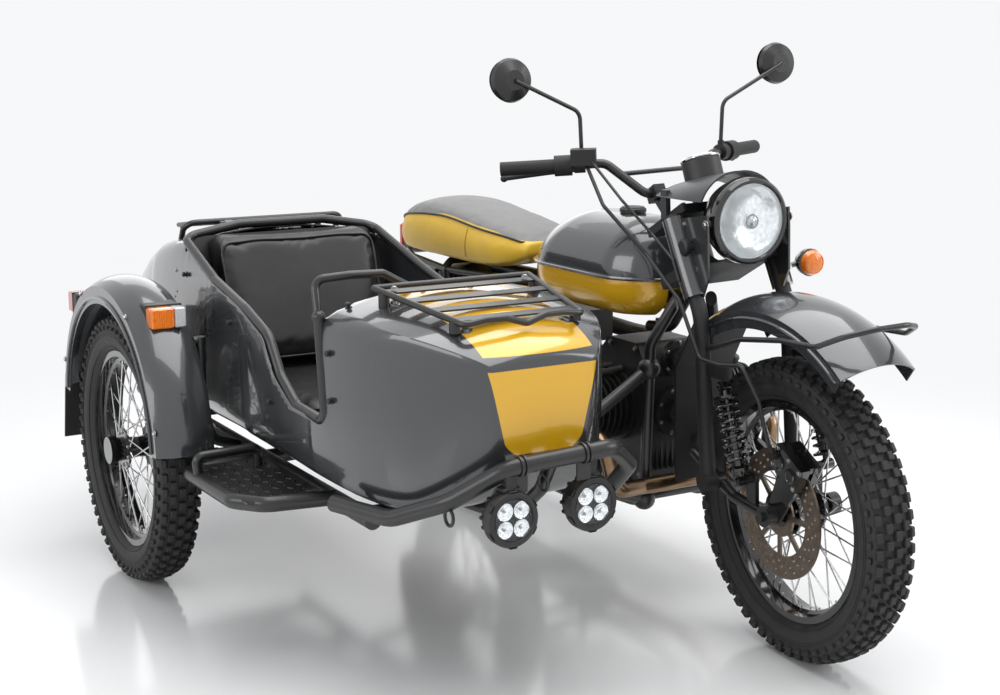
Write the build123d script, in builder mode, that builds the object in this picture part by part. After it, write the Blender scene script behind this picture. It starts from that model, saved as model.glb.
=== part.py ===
from build123d import *
import os
from math import acos, atan2, cos, degrees, hypot, pi, radians, sin, sqrt

os.makedirs("parts", exist_ok=True)

# A sidecar motorcycle, in millimetres: +X forward, +Y to the rider's left, +Z up.
# Pieces are drawn from the rear axle and the motorcycle's own middle plane, with the fork straight ahead.
# write_piece moves them to the part's frame, whose origin is on the floor under the middle of the whole machine.

# ---------------------------------------------------------------- driving dimensions
rear_axle_x = -605.0        # where the rear axle stands in the part's frame
bike_y = 376.0              # where the motorcycle's middle plane stands in the part's frame
wheelbase = 1470.0
track = 1101.0              # from the motorcycle's middle plane to the sidecar wheel's
sidecar_lead = 186.0        # the sidecar wheel's axle stands ahead of the rear axle
tub_offset = 655.0          # from the motorcycle's middle plane to the sidecar body's
fit_gap = 0.3               # between pieces that seat or run on each other

# Steering
rake = 27.0
trail = 50.0
rest_steer = -5.65          # the front wheel stands turned a little to the right
steer_axis = Axis((wheelbase + trail, 0, 0), (-sin(radians(rake)), 0, cos(radians(rake))))

# Wheels and tyres
tyre_radius = 342.5
tyre_half_width = 54.0
lug_count = 26              # in each of the tread's two staggered rows
lug_height = 11.0
lug_length = 27.0           # along the tread
lug_width = 44.0
lug_row_y = 24.0            # the middle of a row, from the wheel's plane
lug_lean = 15.0
rim_radius = 250.0
rim_half_width = 34.0
rim_well_radius = 228.0
rim_wall = 4.0
hub_radius = 30.0
hub_flange_radius = 52.0
hub_flange_y = 34.0
hub_flange_thickness = 6.0
hub_half_width = 56.0
axle_radius = 10.0
spoke_count = 40
spoke_radius = 2.0
spoke_cross = 42.0          # degrees between a spoke's hub end and its rim end
hub_cap_radius = 34.5       # on the sidecar wheel's outer end
hub_cap_length = 20.0
disc_radius = 147.5
disc_inner_radius = 96.0
disc_thickness = 5.0
disc_y = 61.0               # brake disc's middle, from the wheel's plane
disc_hole_radius = 4.0
disc_hole_rows = [(109.0, 24), (121.0, 24), (133.0, 24)]      # radius, count

# Fork
leg_y = 118.0
leg_radius = 18.0
leg_top = (1147.0, 975.0)       # x, z
leg_bend = (1262.0, 760.0)
leg_foot = (1282.0, 379.0)
yoke_half_width = 106.0
lower_yoke_z = 845.0
upper_yoke_z = 958.0
stem_radius = 12.0
link_radius = 13.0
link_y = 86.0
link_rear_x = 1100.0
link_rear_z = 425.0
shock_top = (1352.0, 645.0)
shock_foot = (1415.0, 415.0)
caliper_angle = 62.0        # above the axle's forward horizontal
pad_clearance = 5.0
lamp_x = 1290.0
lamp_z = 967.5
lamp_radius = 98.0
lens_radius = 84.0
lamp_depth = 150.0

# Handlebar and mirrors
bar_radius = 11.0
grip_end_y = 362.0
grip_length = 125.0
grip_radius = 17.0
grip_x = 770.0
grip_z = 1073.0
mirror_x = 869.0
mirror_y = 374.0
mirror_z = 1288.0
mirror_radius = 52.0

# Mudguards
guard_wall = 3.0
front_guard_centre = (1462.0, 350.0)    # x, z
front_guard_radius = 478.0
front_guard_half_width = 94.0
side_guard_centre = (178.0, 385.0)
side_guard_radius = 400.0
side_guard_half_width = 72.0
rear_guard_radius = 373.0
rear_guard_half_width = 84.0

# Tank and seat
tank_rear_x = 470.0
tank_front_x = 1012.0
tank_half_width = 150.0
tank_seam_z = 798.0
tank_top_z = 938.0
tank_bottom_z = 704.0
tunnel_width = 70.0         # over the frame's backbone
tunnel_height = 70.0
seat_rear_x = -290.0
seat_front_x = 466.0

# Sidecar body
tub_wall = 4.0
cowl_rear_x = 985.0
back_x = 105.0
coaming_radius = 12.0
rack_radius = 8.0
rail_radius = 20.0
rail_z = 372.0
rail_right_y = -905.0
rail_left_y = -415.0
bumper_radius = 18.0
lid_front_x = 20.0
lid_rear_x = -430.0
lid_front_half = 245.0
lid_rear_half = 182.0
lid_gap = 5.0


def write_piece(piece, label, steered=False):
    """Moves a finished piece into the part's frame, turned with the fork if it is steered, and writes it."""
    if steered:
        piece = piece.rotate(steer_axis, rest_steer)
    piece = piece.moved(Location((rear_axle_x, bike_y, 0)))
    piece.label = label
    export_step(piece, f"parts/{label}.step")


def tube(points, radius, bends=0):
    """A round bar along straight runs, with tangent arcs of radius bends at the corners."""
    with BuildPart() as run:
        with BuildLine() as path:
            if bends:
                FilletPolyline(*points, radius=bends)
            else:
                Polyline(*points)
        with BuildSketch(Plane(origin=path.line @ 0, z_dir=path.line % 0)):
            Circle(radius)
        sweep()
    return run.part


def disc_along_y(x, y, z, radius, length):
    """A cylinder whose axis is along Y, centred at x, y, z."""
    return Pos(x, y, z) * Rot(90, 0, 0) * Cylinder(radius, length)


def mirrored(points):
    """The same points on the other side of the motorcycle."""
    return [(x, -y, z) for x, y, z in points]


# ---------------------------------------------------------------- wheels
def make_wheel():
    """A wire wheel about the Y axis: rim, hub and laced spokes."""
    well = rim_well_radius
    wide = rim_half_width
    spokes = []
    for k in range(spoke_count):
        side = 1 if k % 2 else -1
        lean = spoke_cross if k % 4 < 2 else -spoke_cross
        at_rim = radians(k * 360 / spoke_count)
        at_hub = at_rim + radians(lean)
        start = Vector((hub_flange_radius - 5) * cos(at_hub), side * hub_flange_y, (hub_flange_radius - 5) * sin(at_hub))
        end = Vector((well - 1) * cos(at_rim), side * 5, (well - 1) * sin(at_rim))
        spoke_plane = Plane(origin=start, z_dir=end - start)
        spokes.append(spoke_plane * Pos(0, 0, (end - start).length / 2) * Cylinder(spoke_radius, (end - start).length))
    with BuildPart() as wheel:
        with BuildSketch(Plane.XY):
            with BuildLine():
                Polyline(
                    (rim_radius, wide), (rim_radius, wide - rim_wall), (well + 10, wide - 6), (well + 8, 14),
                    (well, 9), (well, -9), (well + 8, -14), (well + 10, -wide + 6), (rim_radius, -wide + rim_wall),
                    (rim_radius, -wide), (well + 7, -wide), (well + 4, -14), (well - rim_wall, -10),
                    (well - rim_wall, 10), (well + 4, 14), (well + 7, wide), close=True,
                )
            make_face()
        revolve(axis=Axis.Y)
        with BuildSketch(Plane.XY):
            with BuildLine():
                flange_in = hub_flange_y - hub_flange_thickness / 2
                flange_out = hub_flange_y + hub_flange_thickness / 2
                inner = axle_radius + fit_gap
                Polyline(
                    (inner, -hub_half_width), (hub_radius, -hub_half_width), (hub_radius, -flange_out),
                    (hub_flange_radius, -flange_out), (hub_flange_radius, -flange_in), (hub_radius, -flange_in),
                    (hub_radius - 4, 0), (hub_radius, flange_in), (hub_flange_radius, flange_in),
                    (hub_flange_radius, flange_out), (hub_radius, flange_out), (hub_radius, hub_half_width),
                    (inner, hub_half_width), close=True,
                )
            make_face()
        revolve(axis=Axis.Y)
        add(spokes)
    return wheel.part


def make_tyre():
    """A tyre about the Y axis with two staggered rows of tread lugs, solid inside."""
    bead = rim_radius + fit_gap
    seat = rim_well_radius + 10 + fit_gap
    inside = rim_half_width - rim_wall - fit_gap
    tread_radius = tyre_radius - lug_height
    wall_y = tyre_half_width - 3
    shoulder = (tread_radius - 15, tyre_half_width - 10)
    foot_depth = 12.0           # how deep a lug is set in the carcass
    lug_reach = sqrt(tyre_radius ** 2 - (lug_length / 2) ** 2) - sin(radians(lug_lean)) * lug_width / 2
    lug_middle = lug_reach - (lug_height + foot_depth) / 2 * cos(radians(lug_lean))
    lugs = []
    for row, side in enumerate((-1, 1)):
        for k in range(lug_count):
            turn = (k + row / 2) * 360 / lug_count
            lug_place = Rot(0, -turn, 0) * Pos(lug_middle, side * lug_row_y, 0) * Rot(0, 0, side * lug_lean)
            lugs.append(lug_place * Box(lug_height + foot_depth, lug_width, lug_length))
    with BuildPart() as tyre:
        with BuildSketch(Plane.XY):
            with BuildLine():
                Polyline((bead + 3, -rim_half_width), (bead, -inside), (seat, -inside + 2), (seat, inside - 2),
                         (bead, inside), (bead + 3, rim_half_width))
                ThreePointArc((bead + 3, rim_half_width), (286, wall_y), shoulder)
                ThreePointArc(shoulder, (tread_radius, 0), (shoulder[0], -shoulder[1]))
                ThreePointArc((shoulder[0], -shoulder[1]), (286, -wall_y), (bead + 3, -rim_half_width))
            make_face()
        revolve(axis=Axis.Y)
        add(lugs)
    return tyre.part


def make_disc():
    """A brake disc about the Y axis, centred on its own plane, with its carrier."""
    with BuildPart() as disc:
        with BuildSketch(Plane.XZ.offset(-disc_thickness / 2)):
            Circle(disc_radius)
            Circle(disc_inner_radius, mode=Mode.SUBTRACT)
            Circle(hub_flange_radius)
            Circle(hub_radius + fit_gap, mode=Mode.SUBTRACT)
            with PolarLocations((disc_inner_radius + hub_flange_radius) / 2, 8):
                Rectangle(disc_inner_radius - hub_flange_radius + 8, 12)
            for row, (hole_row, hole_count) in enumerate(disc_hole_rows):
                with PolarLocations(hole_row, hole_count, start_angle=row * 5):
                    Circle(disc_hole_radius, mode=Mode.SUBTRACT)
        extrude(amount=disc_thickness)
    return disc.part


wheel_part = make_wheel()
tyre_part = make_tyre()
disc_part = make_disc()
front_hub = Location((wheelbase, 0, tyre_radius))
rear_hub = Location((0, 0, tyre_radius))
side_hub = Location((sidecar_lead, -track, tyre_radius))

write_piece(wheel_part.moved(front_hub), "front_wheel", True)
write_piece(tyre_part.moved(front_hub), "front_tyre", True)
write_piece(disc_part.moved(front_hub * Pos(0, -disc_y + 8, 0)), "front_disc", True)
write_piece(wheel_part.moved(rear_hub), "rear_wheel")
write_piece(tyre_part.moved(rear_hub), "rear_tyre")
write_piece(tyre_part.moved(side_hub), "sidecar_tyre")

with BuildPart() as sidecar_wheel:
    add(wheel_part.moved(side_hub))
    with BuildSketch(Plane.XZ.offset(track + hub_half_width)):
        with Locations((sidecar_lead, tyre_radius)):
            Circle(hub_cap_radius)
    extrude(amount=hub_cap_length)
write_piece(sidecar_wheel.part, "sidecar_wheel")




# ---------------------------------------------------------------- fork and front suspension (drawn straight ahead)
def steer_x(z):
    """The steering axis's x at height z."""
    return wheelbase + trail - z * sin(radians(rake)) / cos(radians(rake))


def leg_x(z):
    """A fork leg's x at height z, on its raked upper stretch."""
    return leg_bend[0] + (leg_top[0] - leg_bend[0]) * (z - leg_bend[1]) / (leg_top[1] - leg_bend[1])


def shock(low, high, y, spring_radius=27.0, rings=9, eye_radius=12.0):
    """A coil-over shock absorber between two eyes, each (x, z), in the plane y, its coil drawn as rings."""
    length = hypot(high[0] - low[0], high[1] - low[1])
    tilt = degrees(atan2(high[0] - low[0], high[1] - low[1]))
    start = eye_radius + 10
    pitch = (length - 2 * start) / rings
    outline = [(0, 0), (8, 0), (8, start), (spring_radius, start)]
    for k in range(rings):
        foot = start + k * pitch
        outline += [(spring_radius, foot + pitch * 0.6), (spring_radius - 8, foot + pitch * 0.66),
                    (spring_radius - 8, foot + pitch * 0.94), (spring_radius, foot + pitch)]
    outline += [(8, length - start), (8, length), (0, length)]
    with BuildPart() as unit:
        with BuildSketch(Plane.XZ):
            with BuildLine():
                Polyline(*outline, close=True)
            make_face()
        revolve(axis=Axis.Z)
        with Locations((0, 0, 0), (0, 0, length)):
            Cylinder(eye_radius, 22, rotation=(90, 0, 0))
    return Pos(low[0], y, low[1]) * Rot(0, tilt, 0) * unit.part


def yoke_middle(z):
    """The middle of the yoke whose leg end is at height z, in x and z."""
    return ((steer_x(z) + leg_x(z)) / 2, z)


def up_the_axis(x, z):
    """How far along the steering axis the point x, z lies from the floor."""
    return -(x - wheelbase - trail) * sin(radians(rake)) + z * cos(radians(rake))


def on_axis(distance):
    """The x and z of the point at that distance along the steering axis."""
    return (wheelbase + trail - distance * sin(radians(rake)), distance * cos(radians(rake)))


head_low = up_the_axis(*yoke_middle(lower_yoke_z)) + 13 + fit_gap
head_high = up_the_axis(*yoke_middle(upper_yoke_z)) - 10 - fit_gap
head_x, head_z = on_axis((head_low + head_high) / 2)
head_turn = Pos(head_x, 0, head_z) * Rot(0, -rake, 0)
backbone_radius = 17.0
backbone = [(head_x + 8, 0, head_z - 34), (1004, 0, 748), (420, 0, 722), (120, 0, 717)]

head_tilt = Rot(0, -rake, 0)
fork_pieces = []
leg_rooms = []
shock_eye = 12.0
shock_eye_width = 22.0
bracket_low = shock_top[1] - 28 + shock_eye + fit_gap
for side in (-1, 1):
    leg = [(x, side * leg_y, z) for x, z in (leg_top, leg_bend, leg_foot)]
    fork_pieces.append(tube(leg, leg_radius, 90))
    leg_rooms.append(tube(leg, leg_radius + fit_gap, 90))
    fork_pieces.append(disc_along_y(leg_foot[0], side * leg_y, leg_foot[1], leg_radius + 4, 2 * leg_radius))
    bracket_length = shock_top[0] + 14 - leg_bend[0]
    fork_pieces.append(Pos(leg_bend[0] + bracket_length / 2, side * leg_y, bracket_low + 15) * Box(bracket_length, 8, 30))
yoke_rooms = []
for z, thickness in ((lower_yoke_z, 26), (upper_yoke_z, 20)):
    middle_x = (steer_x(z) + leg_x(z)) / 2
    length = leg_x(z) - steer_x(z) + 52
    yoke_place = Pos(middle_x, 0, z) * head_tilt
    fork_pieces.append(yoke_place * Box(length, 2 * yoke_half_width, thickness))
    yoke_rooms.append(yoke_place * Box(length + 2 * fit_gap, 2 * (yoke_half_width + fit_gap), thickness + 2 * fit_gap))
stem_z = (lower_yoke_z + upper_yoke_z) / 2
fork_pieces.append(Pos(steer_x(stem_z), 0, stem_z) * head_tilt * Cylinder(stem_radius, 165))
lamp_room = Pos(lamp_x - 65, 0, lamp_z) * Rot(0, 90, 0) * Cylinder(lamp_radius + 6, 130)
with BuildPart() as fork:
    add(fork_pieces)
    add(lamp_room, mode=Mode.SUBTRACT)
write_piece(fork.part, "fork", True)

front_shocks = []
for side in (-1, 1):
    front_shocks.append(shock(shock_foot, (shock_top[0], shock_top[1] - 28), side * leg_y))
with BuildPart() as fork_shocks:
    add(front_shocks)
write_piece(fork_shocks.part, "fork_shocks", True)

# The leading link: a loop behind the wheel from arm to arm, pivoting on the legs, with the axle in its ends
arm = [(wheelbase + 6, -link_y, tyre_radius), (1345, -link_y, 352), (1175, -link_y, link_rear_z - 8),
       (link_rear_x, -link_y + 55, link_rear_z)]
link_pieces = [
    tube(arm + [(x, -y, z) for x, y, z in reversed(arm)], link_radius, 26),
    disc_along_y(wheelbase, 0, tyre_radius, axle_radius, 2 * link_y + 42),
]
for side in (-1, 1):
    link_pieces.append(disc_along_y(wheelbase, side * link_y, tyre_radius, 24, 2 * link_radius))
    link_pieces.append(Pos(shock_foot[0], side * link_y, (shock_foot[1] + 350) / 2) * Box(34, 10, shock_foot[1] - 330))
    pin_end = leg_y - shock_eye_width / 2 - fit_gap
    link_pieces.append(disc_along_y(shock_foot[0], side * (link_y + pin_end) / 2, shock_foot[1], 10, pin_end - link_y))
    link_pieces.append(disc_along_y(leg_foot[0], side * (link_y + 3), leg_foot[1] - 4, 20, 2 * (leg_y - link_y - leg_radius - 3) - 1))
with BuildPart() as front_link:
    add(link_pieces)
write_piece(front_link.part, "front_link", True)

caliper_x = wheelbase + 138 * cos(radians(caliper_angle))
caliper_z = tyre_radius + 138 * sin(radians(caliper_angle))
disc_plane_y = -hub_half_width + 3
caliper_turn = Pos(caliper_x, 0, caliper_z) * Rot(0, 90 - caliper_angle, 0)
outer_face = disc_plane_y - disc_thickness / 2 - pad_clearance
inner_face = disc_plane_y + disc_thickness / 2 + pad_clearance
caliper_pieces = [
    caliper_turn * Pos(0, outer_face - 13, 4) * Box(96, 26, 62),
    caliper_turn * Pos(0, inner_face + 8.5, 10) * Box(88, 17, 48),
    caliper_turn * Pos(0, (outer_face + inner_face) / 2, 26) * Box(84, inner_face - outer_face + 12, 16),
]
plate_y = -(link_y - link_radius - fit_gap) + 4
with BuildPart() as front_caliper:
    add(caliper_pieces)
    with BuildSketch(Plane.XZ.offset(-plate_y - 4)):
        with BuildLine():
            Polyline((wheelbase - 24, tyre_radius), (wheelbase - 10, tyre_radius - 22), (wheelbase + 20, tyre_radius - 16),
                     (caliper_x + 40, caliper_z - 20), (caliper_x - 30, caliper_z + 12), close=True)
        make_face()
        with Locations((wheelbase, tyre_radius)):
            Circle(axle_radius + fit_gap, mode=Mode.SUBTRACT)
    extrude(amount=8)
write_piece(front_caliper.part, "front_caliper", True)

# Fork covers: a half sleeve on each leg's outer side with an ear that carries the headlamp
cover_pieces = []
leg_direction = Vector(leg_top[0] - leg_bend[0], 0, leg_top[1] - leg_bend[1])
for side in (-1, 1):
    sleeve_plane = Plane(origin=(leg_x(800), side * leg_y, 800), x_dir=(0, side, 0), z_dir=leg_direction)
    with BuildPart() as sleeve:
        with BuildSketch(sleeve_plane):
            Circle(leg_radius + 9)
            Circle(leg_radius + fit_gap, mode=Mode.SUBTRACT)
            with Locations((-leg_y + yoke_half_width + fit_gap - 40, 0)):
                Rectangle(80, 80, mode=Mode.SUBTRACT)
        extrude(amount=190)
        ear_y = yoke_half_width + fit_gap
        with BuildSketch(Plane.XZ.offset(-side * ear_y if side > 0 else ear_y)):
            with BuildLine():
                Polyline((leg_x(800) + leg_radius, 802), (leg_x(840) + 62, 846), (1282, 944), (1280, 990),
                         (leg_x(965) + leg_radius + 2, 972), close=True)
            make_face()
        extrude(amount=-5 if side > 0 else 5)
    cover_pieces.append(sleeve.part)
    pin_start = lamp_radius + fit_gap
    cover_pieces.append(disc_along_y(1268, side * (pin_start + ear_y + 1) / 2, lamp_z, 9, ear_y + 1 - pin_start))
with BuildPart() as fork_covers:
    add(cover_pieces)
write_piece(fork_covers.part, "fork_covers", True)

# Headlamp: a spun bucket with its ring, and a domed lens
with BuildPart() as headlight_shell:
    with BuildSketch(Plane.XZ):
        with BuildLine():
            l1 = Polyline((lamp_x - 16, lens_radius + 1), (lamp_x, lens_radius + 2), (lamp_x, lamp_radius - 2),
                          (lamp_x - 8, lamp_radius), (lamp_x - 30, lamp_radius), (lamp_x - 34, lamp_radius - 5))
            l2 = ThreePointArc(l1 @ 1, (lamp_x - 96, lamp_radius - 36), (lamp_x - 118, 12))
            Polyline(l2 @ 1, (lamp_x - 118, 0), (lamp_x - 16, 0), l1 @ 0)
        make_face()
    revolve(axis=Axis.X)
write_piece(headlight_shell.part.moved(Location((0, 0, lamp_z))), "headlight_shell", True)

with BuildPart() as headlight_lens:
    with BuildSketch(Plane.XZ):
        with BuildLine():
            l1 = Line((lamp_x - 16 + fit_gap, 0), (lamp_x - 16 + fit_gap, lens_radius))
            l2 = Line(l1 @ 1, (lamp_x - 1, lens_radius))
            l3 = ThreePointArc(l2 @ 1, (lamp_x + 9, lens_radius * 0.55), (lamp_x + 14, 6))
            Polyline(l3 @ 1, (lamp_x + 14, 0), l1 @ 0)
        make_face()
    revolve(axis=Axis.X)
write_piece(headlight_lens.part.moved(Location((0, 0, lamp_z))), "headlight_lens", True)


gauge_x = 1092.0
gauge_z = 1066.0
gauge_radius = 46.0
gauge_tilt = -22.0
gauge_place = Location((gauge_x, 0, gauge_z), (0, gauge_tilt, 0))


# Nacelle: a pressed hood over the lamp and the upper yoke, lofted from the lamp's round to a flat rear edge
def nacelle_section(x, half_width, edge_z, crown_z, inset):
    """One arched section: a flat sill, upright sides and a crown through three points."""
    with BuildSketch(Plane(origin=(x, 0, 0), x_dir=(0, 1, 0), z_dir=(1, 0, 0))) as section:
        with BuildLine():
            w = half_width - inset
            top = crown_z - inset
            rise = edge_z + (top - edge_z) * 0.62
            l1 = Line((w, edge_z - inset), (-w, edge_z - inset))
            ThreePointArc(l1 @ 1, (-w * 0.72, rise), (0, top))
            ThreePointArc((0, top), (w * 0.72, rise), l1 @ 0)
        make_face()
    return section.sketch


nacelle_table = [  # x, half width, sill z, crown z
    (1064, 112, 1014, 1038),
    (1150, 114, 1014, 1058),
    (1242, 103, 1014, 1077),
]
gauge_room = gauge_place * Cylinder(gauge_radius + fit_gap, 60)
nacelle_brackets = [Pos(1098, side * 106, 996) * Box(24, 12, 68) for side in (-1, 1)]
with BuildPart() as nacelle:
    for row in nacelle_table:
        add(nacelle_section(*row, 0))
    loft()
    for x, half_width, sill, crown in nacelle_table:
        add(nacelle_section(x + (x - 1150) * 0.05, half_width, sill, crown, 4))
    loft(mode=Mode.SUBTRACT)
    add(nacelle_brackets)
    add([gauge_room, *yoke_rooms, *leg_rooms], mode=Mode.SUBTRACT)
write_piece(nacelle.part, "nacelle", True)


# ---------------------------------------------------------------- gauge, handlebar, hand controls, mirrors
with BuildPart() as gauge:
    Cylinder(gauge_radius, 52)
    fillet(gauge.edges().filter_by(GeomType.CIRCLE).sort_by(Axis.Z)[-1], 7)
    with Locations((0, 0, -32)):
        Cylinder(14, 16)
write_piece(gauge.part.moved(gauge_place), "gauge", True)

bar_clamp_x = 962.0
bar_clamp_z = 1004.0
bar_rise_x = 897.0
bar_rise_y = 150.0
bar_rise_z = 1080.0
bar_half = [(grip_x, -grip_end_y, grip_z), (bar_rise_x, -bar_rise_y, bar_rise_z), (bar_clamp_x, -76, bar_clamp_z)]
brace_share = 0.35
brace_end = tuple(a + (b - a) * brace_share for a, b in zip(bar_half[1], bar_half[2]))
bar_pieces = [
    tube(bar_half + mirrored(bar_half[::-1]), bar_radius, 38),
    tube([(brace_end[0], brace_end[1], brace_end[2]), (brace_end[0], -brace_end[1], brace_end[2])], 6),
]
for side in (-1, 1):
    bar_pieces.append(Pos(bar_clamp_x + 3, side * 50, bar_clamp_z) * Rot(0, -rake, 0) * Box(44, 30, 34))
    bar_pieces.append(tube([(bar_clamp_x + 5, side * 50, bar_clamp_z - 8), (1048, side * 50, 931)], 11))
with BuildPart() as handlebar:
    add(bar_pieces)
    add(yoke_rooms, mode=Mode.SUBTRACT)
write_piece(handlebar.part, "handlebar", True)

# Grips, switch pods, levers and the brake reservoir, each set solid around the bar
grip_direction = Vector(*bar_half[1]) - Vector(*bar_half[0])
control_pieces = []
for side in (-1, 1):
    end = Vector(grip_x, side * grip_end_y, grip_z)
    inner = Vector(bar_rise_x, side * bar_rise_y, bar_rise_z)
    along = (inner - end).normalized()
    grip_plane = Plane(origin=end - along * 6, x_dir=(0, 0, 1), z_dir=along)
    with BuildPart() as control:
        with BuildSketch(grip_plane):
            Circle(grip_radius)
        extrude(amount=grip_length + 6)
        with BuildSketch(grip_plane.offset(grip_length + 6)):
            Circle(bar_radius + 14)
        extrude(amount=42)
        with BuildSketch(grip_plane.offset(grip_length + 54)):
            Circle(bar_radius + 9)
        extrude(amount=26)
        with BuildSketch(grip_plane):
            Circle(bar_radius + fit_gap)
        extrude(amount=grip_length + 100, mode=Mode.SUBTRACT)
        with BuildSketch(grip_plane.offset(6)):
            Circle(bar_radius + fit_gap)
        extrude(amount=grip_length, mode=Mode.SUBTRACT)
    forward = Vector(0, 0, 1).cross(along) * (-side)
    pivot = end + along * (grip_length + 64) + forward * 30 - Vector(0, 0, 14)
    tip = end - along * 4 + forward * 62 - Vector(0, 0, 30)
    knee = end + along * (grip_length - 20) + forward * 66 - Vector(0, 0, 22)
    control_pieces.append(control.part)
    control_pieces.append(tube([tuple(pivot), tuple(knee), tuple(tip)], 6, 40))
    control_pieces.append(Pos(*tip) * Sphere(9))
    control_pieces.append(tube([tuple(pivot), tuple(end + along * (grip_length + 64) + forward * 13)], 9))
    perch = end + along * (grip_length + 66)
    control_pieces.append(Pos(*(perch + Vector(0, 0, 22))) * Cylinder(8, 14))
reservoir = Vector(grip_x, -grip_end_y, grip_z) + Vector(grip_direction).normalized() * (grip_length + 62)
reservoir_place = Pos(reservoir.X + 36, reservoir.Y - 10, reservoir.Z + 22) * Rot(0, 0, -32)
cylinder_place = Pos(reservoir.X + 24, reservoir.Y - 4, reservoir.Z + 6) * Rot(0, 0, -32)
control_pieces.append(reservoir_place * Box(46, 60, 38))
control_pieces.append(cylinder_place * Box(40, 22, 18))
line_rooms = [
    reservoir_place * Box(46 + 2 * fit_gap, 60 + 2 * fit_gap, 38 + 2 * fit_gap),
    cylinder_place * Box(40 + 2 * fit_gap, 22 + 2 * fit_gap, 18 + 2 * fit_gap),
]
bar_room = tube(bar_half + mirrored(bar_half[::-1]), bar_radius + fit_gap, 38)
with BuildPart() as controls:
    add(control_pieces)
    add(bar_room, mode=Mode.SUBTRACT)
write_piece(controls.part, "controls", True)

# Control lines: the brake hose from its reservoir down the right fork leg to the caliper, and a cable to the fork cover
hose_radius = 4.5
cable_radius = 3.5
hose_y = leg_y + leg_radius + 9 + hose_radius + 3
banjo_x = caliper_x - 34
banjo_z = caliper_z + 24
banjo_y = outer_face - 26 - fit_gap
hose_run = [(reservoir.X + 34, reservoir.Y - 6, reservoir.Z + 12), (1010, -222, 996), (1096, -hose_y - 6, 884), (1226, -hose_y, 796),
            (1306, -hose_y, 676), (1386, -hose_y, 676), (1470, -hose_y + 2, 690), (1514, -hose_y + 16, 616),
            (banjo_x + 6, banjo_y - 24, banjo_z + 34), (banjo_x, banjo_y - 5, banjo_z + 6)]
cable_y = leg_y + leg_radius + 9 + fit_gap + cable_radius
cable_run = [(reservoir.X + 40, reservoir.Y - 4, reservoir.Z + 26), (1052, -196, 1010), (1112, -cable_y - 4, 934),
             (leg_x(884), -cable_y, 884), (leg_x(838), -cable_y, 838)]
line_pieces = [
    tube(hose_run, hose_radius, 22),
    disc_along_y(banjo_x, banjo_y - 5, banjo_z, 9, 10),
    tube(cable_run, cable_radius, 12),
]
with BuildPart() as control_lines:
    add(line_pieces)
    add(line_rooms, mode=Mode.SUBTRACT)
write_piece(control_lines.part, "control_lines", True)

mirror_pieces = []
for side in (-1, 1):
    end = Vector(grip_x, side * grip_end_y, grip_z)
    along = (Vector(bar_rise_x, side * bar_rise_y, bar_rise_z) - end).normalized()
    foot = end + along * (grip_length + 66) + Vector(0, 0, 29 + fit_gap)
    elbow = foot + Vector(4, side * 4, 96)
    back = Vector(mirror_x + 12, side * mirror_y, mirror_z)
    mirror_pieces.append(tube([tuple(foot), tuple(elbow), tuple(back)], 5, 30))
    head_plane = Plane(origin=(mirror_x - 14, side * mirror_y, mirror_z), z_dir=(1, 0, 0.06))
    with BuildPart() as head:
        with BuildSketch(head_plane):
            Circle(mirror_radius)
        with BuildSketch(head_plane.offset(12)):
            Circle(mirror_radius - 4)
        with BuildSketch(head_plane.offset(24)):
            Circle(mirror_radius * 0.45)
        loft(ruled=True)
    mirror_pieces.append(head.part)
with BuildPart() as mirrors:
    add(mirror_pieces)
write_piece(mirrors.part, "mirrors", True)

# ---------------------------------------------------------------- mudguards
def guard_section(radius, half_width, depth, crown):
    """A pressed mudguard's section, x outward from the wheel's axle and y across: a crowned web and two skirts."""
    with BuildSketch(Plane.XY) as section:
        with BuildLine():
            shoulder = radius - crown
            o1 = Line((shoulder - depth, -half_width), (shoulder - 8, -half_width))
            o2 = ThreePointArc(o1 @ 1, (radius, 0), (shoulder - 8, half_width))
            o3 = Line(o2 @ 1, (shoulder - depth, half_width))
            o4 = Line(o3 @ 1, (shoulder - depth, half_width - guard_wall))
            o5 = Line(o4 @ 1, (shoulder - 8 - guard_wall, half_width - guard_wall))
            o6 = ThreePointArc(o5 @ 1, (radius - guard_wall, 0), (shoulder - 8 - guard_wall, -half_width + guard_wall))
            Polyline(o6 @ 1, (shoulder - depth, -half_width + guard_wall), o1 @ 0)
        make_face()
    return section.sketch


def make_guard(radius, half_width, depth, crown, start, stop):
    """A mudguard about the Y axis from start to stop, in degrees up from the forward horizontal."""
    with BuildPart() as guard:
        add(guard_section(radius, half_width, depth, crown))
        revolve(axis=Axis.Y, revolution_arc=stop - start)
    return Rot(0, -stop, 0) * guard.part


front_guard_part = make_guard(front_guard_radius, front_guard_half_width, 46, 24, 52, 127)
with BuildPart() as front_mudguard:
    add(front_guard_part.moved(Location((front_guard_centre[0], 0, front_guard_centre[1]))))
    for side in (-1, 1):
        with Locations((leg_bend[0] - 4, side * (front_guard_half_width + 2.6), 715)):
            Box(30, 6.2, 40)
    with BuildSketch(Plane.XZ.offset(-80)):
        with BuildLine():
            Polyline((1170, 726), (1182, 738), (1090, 598), (1082, 320), (1076, 320), (1082, 602), close=True)
        make_face()
    extrude(amount=160)
write_piece(front_mudguard.part, "front_mudguard", True)

rail_y = front_guard_half_width + 22
rail_half = [(1268, -rail_y, 684), (1415, -rail_y, 734), (1560, -rail_y, 757), (1680, -rail_y, 764), (1740, -rail_y + 24, 792),
             (1772, -rail_y + 74, 806)]
rail_run = tube(rail_half + mirrored(rail_half[::-1]), 6, 40)
with BuildPart() as mudguard_rail:
    add(rail_run)
    add(leg_rooms, mode=Mode.SUBTRACT)
write_piece(mudguard_rail.part, "mudguard_rail", True)

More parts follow.
